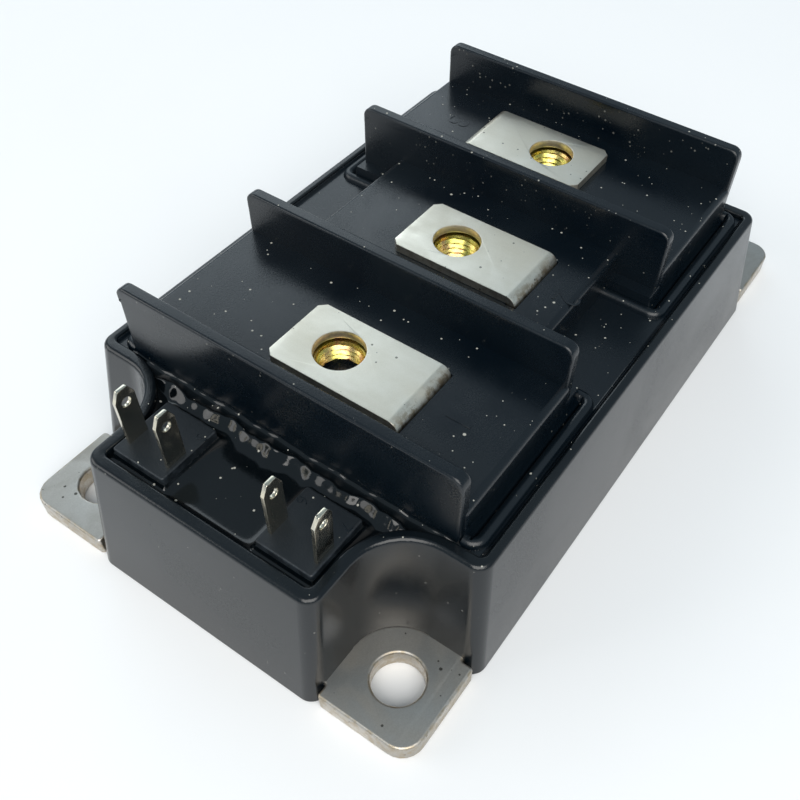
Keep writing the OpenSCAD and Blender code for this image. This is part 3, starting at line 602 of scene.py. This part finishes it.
def terminal(name, x, way, neck, foot_z=4.45, width=10.8, cut=0.9):
    """The flat blank, with its hole and neck, handed to the fold."""
    top_z = platform_z + 1.2
    fold, (s1, s2, s3, s4) = strip_fold(x, way, top_z, -10.9, foot_z)
    half, end, neck_s = width / 2, s4 + 4.2, s2 + 14.3
    bends = [*np.linspace(s1, s2, 7), neck_s, *np.linspace(s3, s4, 7)]
    n0, n1 = neck
    right_side = [(half, cut)] + [(half, s) for s in bends[:8]] + [(n1, neck_s + 0.01)] + [(n1, s) for s in bends[8:]]
    left_side = [(n0, s) for s in bends[8:]][::-1] + [(n0, neck_s + 0.01)] + [(-half, s) for s in bends[:8]][::-1]
    outer = np.array([(-half + cut, 0), (half - cut, 0), *right_side, (n1, end), (n0, end), *left_side, (-half, cut)])
    worn = lambda flat, rim: np.maximum(0.35 * rim, np.clip((flat[:, 1] - s1) / 0.8, 0, 1))
    return sheet(name, outer, [circle(0, 6.9, 3.2)], 1.2, 0.12, fold=fold, lines=[*bends], steps=3, worn=worn)


for k, (x, way, low, high) in enumerate(terminals):
    neck = (3.4, 5.4) if k == 1 else (-3.0, 3.0)
    piece = terminal(f"terminal_strip_{k + 1}", x, way, neck)
    stands_for(piece, "terminal_plating", f"main_terminal_{k + 1}")
print("terminals:", len(piece.data.polygons), "faces each")

# %% [markdown]
# ## Nuts
# Each nut is a six-sided body with a thread. Its profile runs from the underside up the outside,
# over the top and down the bore, and it is carried once round. Outside, the radius follows a
# hexagon: half the width across flats divided by the cosine of the angle from the nearest flat.
# In the bore the radius swings with height and turns with the angle, which makes the screw thread.

# %% Nuts
def nut(name, x, low, high, flats=10.0, bore=2.5, pitch=0.8, n=72):
    """r(a, v) is a hexagon outside and bore + depth * triangle wave(height / pitch - angle) inside."""
    a = np.linspace(0, 2 * np.pi, n, endpoint=False)
    hex_r = flats / 2 / np.cos((a + np.pi / 6) % (np.pi / 3) - np.pi / 6)
    z0, z1 = low[2], high[2]
    rings = []

    def add(r, z):
        rings.append(np.column_stack([x + r * np.cos(a), r * np.sin(a), np.broadcast_to(z, n)]))

    add(np.minimum(hex_r, 5.2), z0)
    add(hex_r, z0 + np.maximum(hex_r - 5.2, 0) * 0.5)
    add(hex_r, z1 - np.maximum(hex_r - 5.2, 0) * 0.5)
    add(np.minimum(hex_r, 5.2), z1)
    add(np.full(n, bore + 0.45), z1)
    turns = np.linspace(z1 - 0.35, z0 + 0.1, 60)
    for z in turns:
        wave = np.abs(((z / pitch - a / (2 * np.pi)) % 1) * 2 - 1)
        fade = min(1, (z1 - z) / 0.6)
        add(bore - 0.02 + 0.42 * (wave * fade + (1 - fade)), z)
    add(np.full(n, bore + 0.4), z0)
    return stack(name, np.array(rings), closed=True)


for k, (x, way, low, high) in enumerate(terminals):
    nut_low, nut_high = box(f"terminal_nut_{k + 1}")
    piece = nut(f"captive_nut_{k + 1}", x, nut_low, nut_high)
    stands_for(piece, "nut_plating", f"terminal_nut_{k + 1}")

# %% [markdown]
# ## Signal tabs
# The tabs are thin blades with a tapered tip and a small hole. They are sheets that stand upright.

# %% Signal tabs
tab_nodes = ("gate_tab_1", "emitter_tab_1", "emitter_tab_2", "gate_tab_2")
for k, node in enumerate(tab_nodes):
    low, high = box(node)
    cx, cy = (low[0] + high[0]) / 2, (low[1] + high[1]) / 2
    half, tip, foot = (high[0] - low[0]) / 2, high[2], low[2]
    outline = rounded_path([(-half, foot), (half, foot), (half, tip - 1.4), (half / 2, tip),
                            (-half / 2, tip), (-half, tip - 1.4)], [0.05, 0.05, 0.35, 0.25, 0.25, 0.35], 5)

    lean = -0.08 if k == 3 else 0.0

    def stand(p, cx=cx, cy=cy, lean=lean, foot=foot):
        return np.column_stack([cx - p[:, 0], cy + p[:, 2] + lean * (p[:, 1] - 19.4).clip(0), p[:, 1]])

    piece = sheet(f"signal_tab_{k + 1}", outline, [circle(0, tip - 1.4 - 0.65, 0.65, 20)], 0.5, 0.07,
                  fold=stand, steps=3)
    stands_for(piece, "tab_plating", node)

# %% [markdown]
# ## Numbers
# Each connection has a plain number beside it, drawn in the mould with a fine line. A text is a
# curve, so it is made a mesh first, and only then turned and carried to its place.

# %% Numbers
def number(name, sign, x, y, z, height, turn=math.pi):
    """A thin raised sign: the text's outline drawn in by a negative offset, then extruded."""
    curve = bpy.data.curves.new(name, "FONT")
    curve.body, curve.size = sign, height / 0.7
    curve.align_x, curve.align_y = "CENTER", "CENTER"
    curve.offset, curve.extrude, curve.bevel_depth = -0.030 * height, 0.05, 0.02
    holder = bpy.data.objects.new(name + "_curve", curve)
    bpy.context.collection.objects.link(holder)
    bpy.context.view_layer.update()
    mesh = bpy.data.meshes.new_from_object(holder.evaluated_get(bpy.context.evaluated_depsgraph_get()))
    bpy.data.objects.remove(holder)
    mesh.name = name
    mesh.materials.clear()
    mesh.transform(Matrix.Translation((x * MM, y * MM, z * MM)) @ Matrix.Rotation(turn, 4, "Z") @ Matrix.Scale(MM, 4))
    piece = bpy.data.objects.new(name, mesh)
    bpy.context.collection.objects.link(piece)
    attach(piece, "root")
    dressed.append((piece, "cover_plastic"))


for k, (x, way, low, high) in enumerate(terminals):
    number(f"main_number_{k + 1}", str(k + 1), x, -way * 16.6 if k == 2 else -16.6, platform_z, 3.6)
for k, node in enumerate(tab_nodes):
    low, high = box(node)
    number(f"signal_number_{k + 4}", str(k + 4), -41.6, (low[1] + high[1]) / 2, box("tab_block_1")[1][2], 1.5)
print("numbers: 7")

# %% [markdown]
# ## Finishes
# A finish is a small program that the renderer runs at every point of a surface. Effects that
# several finishes share are node groups, built once: grain, smudges, dust, worn edges and tool
# marks. Each takes the place on the object and gives back a mask between 0 and 1, and each finish
# mixes those masks with its own colours and values. The places are metres on the object itself,
# so a pattern stays where it is when the piece or the camera moves.

# %% Node helpers
def add(tree, kind, **values):
    """Adds a node; each value is one of its properties or, if it has none of that name, a socket."""
    n = tree.nodes.new("ShaderNode" + kind)
    for key, value in values.items():
        if hasattr(n, key):
            setattr(n, key, value)
        else:
            n.inputs[key.replace("_", " ")].default_value = value
    return n


def effect(name, takes, gives):
    """An empty node group with its named sockets; returns the group, its start and its end."""
    tree = bpy.data.node_groups.new(name, "ShaderNodeTree")
    for socket, kind, value in takes:
        made = tree.interface.new_socket(socket, in_out="INPUT", socket_type="NodeSocket" + kind)
        if value is not None:
            made.default_value = value
    for socket in gives:
        tree.interface.new_socket(socket, in_out="OUTPUT", socket_type="NodeSocketFloat")
    return tree, tree.nodes.new("NodeGroupInput"), tree.nodes.new("NodeGroupOutput")


def smooth_step(tree, value, low, high):
    """0 below low, 1 above high, and an S-shaped ramp between; low and high may be swapped."""
    n = add(tree, "MapRange", interpolation_type="SMOOTHSTEP", From_Min=low, From_Max=high)
    if low > high:
        n.inputs["From Min"].default_value, n.inputs["From Max"].default_value = high, low
        n.inputs["To Min"].default_value, n.inputs["To Max"].default_value = 1, 0
    tree.links.new(value, n.inputs["Value"])
    return n.outputs["Result"]


def calculate(tree, operation, a, b):
    """One sum of two values, each a socket or a number."""
    n = add(tree, "Math", operation=operation)
    for k, value in enumerate((a, b)):
        if isinstance(value, (int, float)):
            n.inputs[k].default_value = value
        else:
            tree.links.new(value, n.inputs[k])
    return n.outputs[0]


# %% Shared effects
def build_grain():
    """Fine even noise: the texture that a spark-eroded mould or a rolled sheet leaves."""
    tree, start, end = effect("grain", [("Place", "Vector", None), ("Scale", "Float", 5000.0)], ["Grain"])
    noise = add(tree, "TexNoise", Detail=3.0, Roughness=0.6)
    tree.links.new(start.outputs["Place"], noise.inputs["Vector"])
    tree.links.new(start.outputs["Scale"], noise.inputs["Scale"])
    tree.links.new(smooth_step(tree, noise.outputs["Fac"], 0.3, 0.7), end.inputs["Grain"])
    return tree


def build_smudges():
    """Broad soft blots where fingers, flux or dust film changed the gloss."""
    tree, start, end = effect("smudges", [("Place", "Vector", None), ("Scale", "Float", 60.0)], ["Smudge"])
    noise = add(tree, "TexNoise", Detail=5.0, Roughness=0.55, Distortion=0.6)
    tree.links.new(start.outputs["Place"], noise.inputs["Vector"])
    tree.links.new(start.outputs["Scale"], noise.inputs["Scale"])
    tree.links.new(smooth_step(tree, noise.outputs["Fac"], 0.32, 0.68), end.inputs["Smudge"])
    return tree


def build_dust():
    """Specks: in each cell of a random lattice a dot whose radius is a high power of a random number."""
    tree, start, end = effect(
        "dust", [("Place", "Vector", None), ("Scale", "Float", 900.0), ("Size", "Float", 0.3)], ["Speck"])
    cells = add(tree, "TexVoronoi")
    tree.links.new(start.outputs["Place"], cells.inputs["Vector"])
    tree.links.new(start.outputs["Scale"], cells.inputs["Scale"])
    chance = add(tree, "SeparateColor")
    tree.links.new(cells.outputs["Color"], chance.inputs["Color"])
    radius = calculate(tree, "MULTIPLY", calculate(tree, "POWER", chance.outputs["Red"], 12.0), start.outputs["Size"])
    inside = calculate(tree, "SUBTRACT", radius, cells.outputs["Distance"])
    tree.links.new(smooth_step(tree, inside, 0.0, 0.04), end.inputs["Speck"])
    return tree


def build_wear():
    """Along marked edges, broken up by noise so that the wear comes and goes."""
    tree, start, end = effect(
        "edge_wear", [("Place", "Vector", None), ("Edge", "Float", 0.0), ("Scale", "Float", 500.0)], ["Wear"])
    noise = add(tree, "TexNoise", Detail=4.0, Roughness=0.7)
    tree.links.new(start.outputs["Place"], noise.inputs["Vector"])
    tree.links.new(start.outputs["Scale"], noise.inputs["Scale"])
    broken = smooth_step(tree, noise.outputs["Fac"], 0.42, 0.62)
    tree.links.new(calculate(tree, "MULTIPLY", broken, start.outputs["Edge"]), end.inputs["Wear"])
    return tree


def build_marks():
    """Straight tool marks: noise stretched forty times along one direction."""
    tree, start, end = effect(
        "tool_marks", [("Place", "Vector", None), ("Scale", "Float", 60.0), ("Turn", "Vector", None)], ["Mark"])
    stretch = add(tree, "Mapping", vector_type="TEXTURE")
    stretch.inputs["Scale"].default_value = (40, 1, 1)
    tree.links.new(start.outputs["Place"], stretch.inputs["Vector"])
    tree.links.new(start.outputs["Turn"], stretch.inputs["Rotation"])
    noise = add(tree, "TexNoise", Detail=5.0, Roughness=0.7)
    tree.links.new(stretch.outputs["Vector"], noise.inputs["Vector"])
    tree.links.new(start.outputs["Scale"], noise.inputs["Scale"])
    tree.links.new(smooth_step(tree, noise.outputs["Fac"], 0.35, 0.65), end.inputs["Mark"])
    return tree


effects = {"grain": build_grain(), "smudges": build_smudges(), "dust": build_dust(),
           "edge_wear": build_wear(), "tool_marks": build_marks()}
print("shared effects:", ", ".join(effects))


# %% The start of every finish
def begin(name):
    """A material with its shader, the place on the object and the piece's own edge mask."""
    made = bpy.data.materials.new(name)
    made.use_nodes = True
    tree = made.node_tree
    shader = tree.nodes["Principled BSDF"]
    place = add(tree, "TexCoord").outputs["Object"]
    edge = add(tree, "Attribute", attribute_name="edge").outputs["Fac"]
    return made, tree, shader, place, edge


def use(tree, name, place, **values):
    """Places a shared effect with its own values and returns its mask."""
    n = tree.nodes.new("ShaderNodeGroup")
    n.node_tree = effects[name]
    tree.links.new(place, n.inputs["Place"])
    for key, value in values.items():
        if isinstance(value, (int, float, tuple)):
            n.inputs[key].default_value = value
        else:
            tree.links.new(value, n.inputs[key])
    return n.outputs[0]


def blend_colour(tree, mask, low, high):
    """Colour low where the mask is 0 and high where it is 1; each is a socket or three numbers."""
    n = add(tree, "Mix", data_type="RGBA")
    tree.links.new(mask, n.inputs["Factor"])
    for socket, value in ((n.inputs[6], low), (n.inputs[7], high)):
        if isinstance(value, tuple):
            socket.default_value = (*value, 1)
        else:
            tree.links.new(value, socket)
    return n.outputs[2]


def spread(tree, mask, low, high):
    """Turns a mask into a value between low and high."""
    n = add(tree, "MapRange", To_Min=low, To_Max=high)
    tree.links.new(mask, n.inputs["Value"])
    return n.outputs["Result"]


def bump(tree, shader, height, depth):
    """Feeds the shader's normal from a height mask of that depth in metres."""
    n = add(tree, "Bump", Strength=1.0, Distance=depth)
    tree.links.new(height, n.inputs["Height"])
    tree.links.new(n.outputs["Normal"], shader.inputs["Normal"])


# %% [markdown]
# ### Black plastics and resin
# Black plastic is hardly a colour at all: what the eye sees is the room in its surface. So the
# base stays close to black and the work is in the gloss. Smudges vary the roughness, a thin film
# of dust greys the surface in patches, and single specks lie on what faces up.

# %% Black plastics
def black_plastic(name, body, film, rough, dust_size, grain_depth, film_share=0.5):
    """Body colour under a patchy grey film, roughness between two values, specks on upward faces."""
    made, tree, shader, place, edge = begin(name)
    smudge = use(tree, "smudges", place, Scale=55.0)
    grain = use(tree, "grain", place, Scale=4200.0)
    facing = add(tree, "SeparateXYZ")
    tree.links.new(add(tree, "NewGeometry").outputs["Normal"], facing.inputs[0])
    upward = smooth_step(tree, facing.outputs["Z"], 0.3, 0.9)
    upward = calculate(tree, "MAXIMUM", upward, 0.25)
    specks = calculate(tree, "MAXIMUM", use(tree, "dust", place, Scale=650.0, Size=dust_size * 0.5),
                       use(tree, "dust", place, Scale=1700.0, Size=dust_size))
    specks = calculate(tree, "MULTIPLY", specks, upward)
    filmed = calculate(tree, "MULTIPLY", smudge, film_share)
    colour = blend_colour(tree, filmed, body, film)
    wear = use(tree, "edge_wear", place, Edge=edge, Scale=700.0)
    colour = blend_colour(tree, calculate(tree, "MULTIPLY", wear, 0.5), colour, tuple(c * 3 for c in film))
    colour = blend_colour(tree, specks, colour, (0.42, 0.41, 0.36))
    tree.links.new(colour, shader.inputs["Base Color"])
    gloss = calculate(tree, "ADD", spread(tree, smudge, *rough), spread(tree, grain, -0.03, 0.03))
    tree.links.new(calculate(tree, "MAXIMUM", gloss, calculate(tree, "MULTIPLY", specks, 0.8)),
                   shader.inputs["Roughness"])
    bump(tree, shader, calculate(tree, "ADD", grain, calculate(tree, "MULTIPLY", specks, 4.0)), grain_depth)
    return made


frame_finish = black_plastic("frame_moulded_black", (0.0010, 0.0028, 0.0048), (0.005, 0.0075, 0.009),
                             (0.17, 0.27), 0.22, 0.000004)
cover_finish = black_plastic("cover_moulded_black", (0.0008, 0.0032, 0.0062), (0.0045, 0.0085, 0.012),
                             (0.2, 0.32), 0.3, 0.000004)
block_finish = black_plastic("block_moulded_black", (0.003, 0.006, 0.009), (0.010, 0.013, 0.016),
                             (0.4, 0.52), 0.3, 0.000008)
resin_finish = black_plastic("cast_resin_black", (0.0008, 0.002, 0.003), (0.003, 0.0045, 0.0055),
                             (0.05, 0.14), 0.3, 0.000001, 0.4)

# %% [markdown]
# ### Plated metals
# Plated sheet is a mirror that fine scratches and specks have dulled. The plating ends where the
# strip was cut, so cut edges show the brown of the copper alloy below it. Tool marks run along one
# direction, specks are tiny pits, and stains make the roughness change over millimetres.

# %% Plated metals
def plated(name, bright, dull, cut, rough, marks, turn=(0.0, 0.0, 0.0), pits=0.0, depth=0.000004, cut_share=0.8):
    """Bright and dull plating mixed by smudges and marks, pits as dark specks, and bare cut edges."""
    made, tree, shader, place, edge = begin(name)
    smudge = use(tree, "smudges", place, Scale=140.0)
    mark = use(tree, "tool_marks", place, Scale=marks, Turn=turn)
    grain = use(tree, "grain", place, Scale=6500.0)
    mixed = calculate(tree, "ADD", calculate(tree, "MULTIPLY", smudge, 0.5), calculate(tree, "MULTIPLY", mark, 0.35))
    mixed = calculate(tree, "ADD", mixed, calculate(tree, "MULTIPLY", grain, 0.2))
    colour = blend_colour(tree, mixed, bright, dull)
    pit = use(tree, "dust", place, Scale=1500.0, Size=pits)
    colour = blend_colour(tree, pit, colour, tuple(c * 0.35 for c in dull))
    bare = calculate(tree, "MULTIPLY", use(tree, "edge_wear", place, Edge=edge, Scale=900.0), cut_share)
    colour = blend_colour(tree, bare, colour, cut)
    tree.links.new(colour, shader.inputs["Base Color"])
    shader.inputs["Metallic"].default_value = 1.0
    gloss = calculate(tree, "ADD", spread(tree, smudge, *rough), spread(tree, mark, -0.05, 0.06))
    tree.links.new(gloss, shader.inputs["Roughness"])
    height = calculate(tree, "ADD", calculate(tree, "MULTIPLY", mark, 0.6), calculate(tree, "MULTIPLY", grain, 0.4))
    bump(tree, shader, calculate(tree, "SUBTRACT", height, pit), depth)
    return made


quarter_turn = (0.0, 0.0, math.pi / 2)
plate_finish = plated("nickel_plate", (0.62, 0.59, 0.545), (0.36, 0.335, 0.295), (0.40, 0.33, 0.23),
                      (0.38, 0.52), 50.0, (0.0, 0.0, 0.5), 0.35)
terminal_finish = plated("terminal_nickel", (0.93, 0.88, 0.77), (0.76, 0.71, 0.59), (0.34, 0.24, 0.13),
                         (0.34, 0.46), 90.0, quarter_turn, 0.3)
tab_finish = plated("tab_tin", (0.72, 0.69, 0.60), (0.46, 0.43, 0.35), (0.80, 0.74, 0.58),
                    (0.16, 0.28), 120.0, (0.0, math.pi / 2, 0.0), 0.3)
print("finishes so far:", len(bpy.data.materials))


# %% Zinc of the nuts
def yellow_zinc_and_painted_shade(name):
    """A thin passivation whose colour drifts between gold, green and pink with its thickness, kept dark: partly the
    zinc's own tone, partly painted shade of the pocket under the terminal.
    """
    made, tree, shader, place, edge = begin(name)
    film = add(tree, "TexNoise", Scale=260.0, Detail=3.0, Distortion=1.2)
    tree.links.new(place, film.inputs["Vector"])
    ramp = add(tree, "ValToRGB")
    # These colours are darker than a lit nut's: partly the zinc's own tone, partly painted shade of the nut's pocket
    # under the terminal.
    stops = [(0.25, (0.30, 0.34, 0.07)), (0.42, (0.62, 0.55, 0.13)), (0.55, (0.78, 0.60, 0.22)),
             (0.68, (0.62, 0.30, 0.18)), (0.80, (0.42, 0.46, 0.30))]
    while len(ramp.color_ramp.elements) < len(stops):
        ramp.color_ramp.elements.new(0.5)
    for element, (where, colour) in zip(ramp.color_ramp.elements, stops):
        element.position = where
        element.color = (*colour, 1)
    tree.links.new(film.outputs["Fac"], ramp.inputs["Fac"])
    grain = use(tree, "grain", place, Scale=7000.0)
    colour = blend_colour(tree, calculate(tree, "MULTIPLY", grain, 0.35), ramp.outputs["Color"], (0.22, 0.17, 0.08))
    tree.links.new(colour, shader.inputs["Base Color"])
    shader.inputs["Metallic"].default_value = 1.0
    tree.links.new(spread(tree, grain, 0.2, 0.34), shader.inputs["Roughness"])
    bump(tree, shader, grain, 0.000003)
    return made


nut_zinc_and_painted_shade = yellow_zinc_and_painted_shade("nut_yellow_zinc")

# %% [markdown]
# ### Inside
# The inner parts are hidden in the closed module, but each is dressed too: copper tracks on white
# ceramic, dull solder, dark silicon, bright wire, clear gel and a bead of sealant.

# %% Inner finishes
def mineral(name, light, dark, rough, scale, depth=0.000006):
    """A matt or glassy solid whose two tones are mixed by fine grain and broad smudges."""
    made, tree, shader, place, edge = begin(name)
    grain = use(tree, "grain", place, Scale=scale)
    smudge = use(tree, "smudges", place, Scale=90.0)
    tree.links.new(blend_colour(tree, calculate(tree, "MULTIPLY", grain, smudge), light, dark),
                   shader.inputs["Base Color"])
    tree.links.new(spread(tree, smudge, *rough), shader.inputs["Roughness"])
    bump(tree, shader, grain, depth)
    return made


finishes = {
    "plated_base": plate_finish, "frame_plastic": frame_finish, "cover_plastic": cover_finish,
    "terminal_plating": terminal_finish, "nut_plating": nut_zinc_and_painted_shade, "tab_plating": tab_finish,
    "resin": resin_finish,
    "copper": plated("track_copper", (0.82, 0.45, 0.30), (0.55, 0.27, 0.17), (0.5, 0.2, 0.1), (0.25, 0.4), 110.0),
    "solder": plated("dull_solder", (0.55, 0.55, 0.56), (0.36, 0.36, 0.37), (0.4, 0.4, 0.4), (0.4, 0.6), 70.0),
    "silicon": plated("chip_silicon", (0.42, 0.45, 0.52), (0.28, 0.30, 0.36), (0.3, 0.3, 0.34), (0.12, 0.2), 60.0),
    "bond_wire": plated("wire_aluminium", (0.86, 0.86, 0.87), (0.68, 0.68, 0.69), (0.7, 0.7, 0.7), (0.22, 0.34), 150.0),
    "ceramic": mineral("white_ceramic", (0.86, 0.85, 0.81), (0.74, 0.72, 0.68), (0.35, 0.5), 5200.0),
    "adhesive": mineral("frame_sealant", (0.72, 0.69, 0.62), (0.56, 0.53, 0.47), (0.45, 0.6), 2600.0, 0.00002),
    "gel": mineral("clear_gel", (0.78, 0.86, 0.88), (0.66, 0.76, 0.78), (0.06, 0.12), 900.0, 0.000001),
}
gel_shader = finishes["gel"].node_tree.nodes["Principled BSDF"]
gel_shader.inputs["Transmission Weight"].default_value = 0.85
gel_shader.inputs["IOR"].default_value = 1.41

# %% [markdown]
# ### Dressing
# Each new piece names its finish by its slot in the record, and the construction's own nodes take
# the same finish, also those that are hidden. The two tab blocks are more matt than the cover.

# %% Dressing
for sub in frame["record"]["subparts"]:
    node = frame["nodes"][sub["node"]]
    node.data.materials.clear()
    node.data.materials.append(finishes[sub["material_slot"]])
for piece, slot in dressed:
    piece.data.materials.append(block_finish if piece.name.startswith("tab_block") else finishes[slot])

# %% [markdown]
# ## Floor, light and colour
# The module stands on a plain white floor. The ceiling is dim and slightly blue, as in a room with
# a window: a wide soft panel low behind the far left end gives the tops their cool sheen, and a
# large one behind the camera lights the floor. Vertical faces of a glossy black part show hardly
# anything but the floor. The view transform is the plain one, so that white stays white.

# %% Floor
floor_mesh = bpy.data.meshes.new("floor")
floor_mesh.from_pydata([(-4, -4, 0), (4, -4, 0), (4, 4, 0), (-4, 4, 0)], [], [(0, 1, 2, 3)])
floor = bpy.data.objects.new("floor", floor_mesh)
bpy.context.collection.objects.link(floor)
floor_finish, tree, shader, place, edge = begin("floor_white")
paper = use(tree, "smudges", place, Scale=6.0)
tree.links.new(blend_colour(tree, paper, (0.90, 0.90, 0.90), (0.88, 0.88, 0.885)), shader.inputs["Base Color"])
shader.inputs["Roughness"].default_value = 0.85
floor_mesh.materials.append(floor_finish)

# %% Light
world = bpy.data.worlds.new("room")
bpy.context.scene.world = world
world.use_nodes = True
background = world.node_tree.nodes["Background"]
background.inputs["Color"].default_value = (0.70, 0.87, 1.0, 1)
background.inputs["Strength"].default_value = 0.42


def panel(name, direction, distance, width, height, glow, colour=(1, 1, 1)):
    """A soft panel that faces the module; its glow is the brightness of its face, so power = glow * pi * area."""
    light = bpy.data.lights.new(name, "AREA")
    light.shape, light.size, light.size_y = "RECTANGLE", width, height
    light.energy = glow * math.pi * width * height
    light.color = colour
    holder = bpy.data.objects.new(name, light)
    bpy.context.collection.objects.link(holder)
    away = Vector(direction).normalized()
    holder.location = away * distance
    holder.rotation_euler = away.to_track_quat("Z", "Y").to_euler()


panel("window", (0.45, 0.66, 0.52), 1.2, 0.9, 0.55, 1.6, (0.86, 0.95, 1.0))
panel("room_light", (-0.55, -0.45, 0.75), 1.3, 1.3, 1.1, 4.1, (1.0, 0.975, 0.935))
panel("side_light", (-0.5, 0.75, 0.45), 1.2, 0.8, 0.6, 2.2, (1.0, 0.98, 0.95))
bpy.context.scene.view_settings.view_transform = "Standard"
bpy.context.scene.view_settings.look = "None"
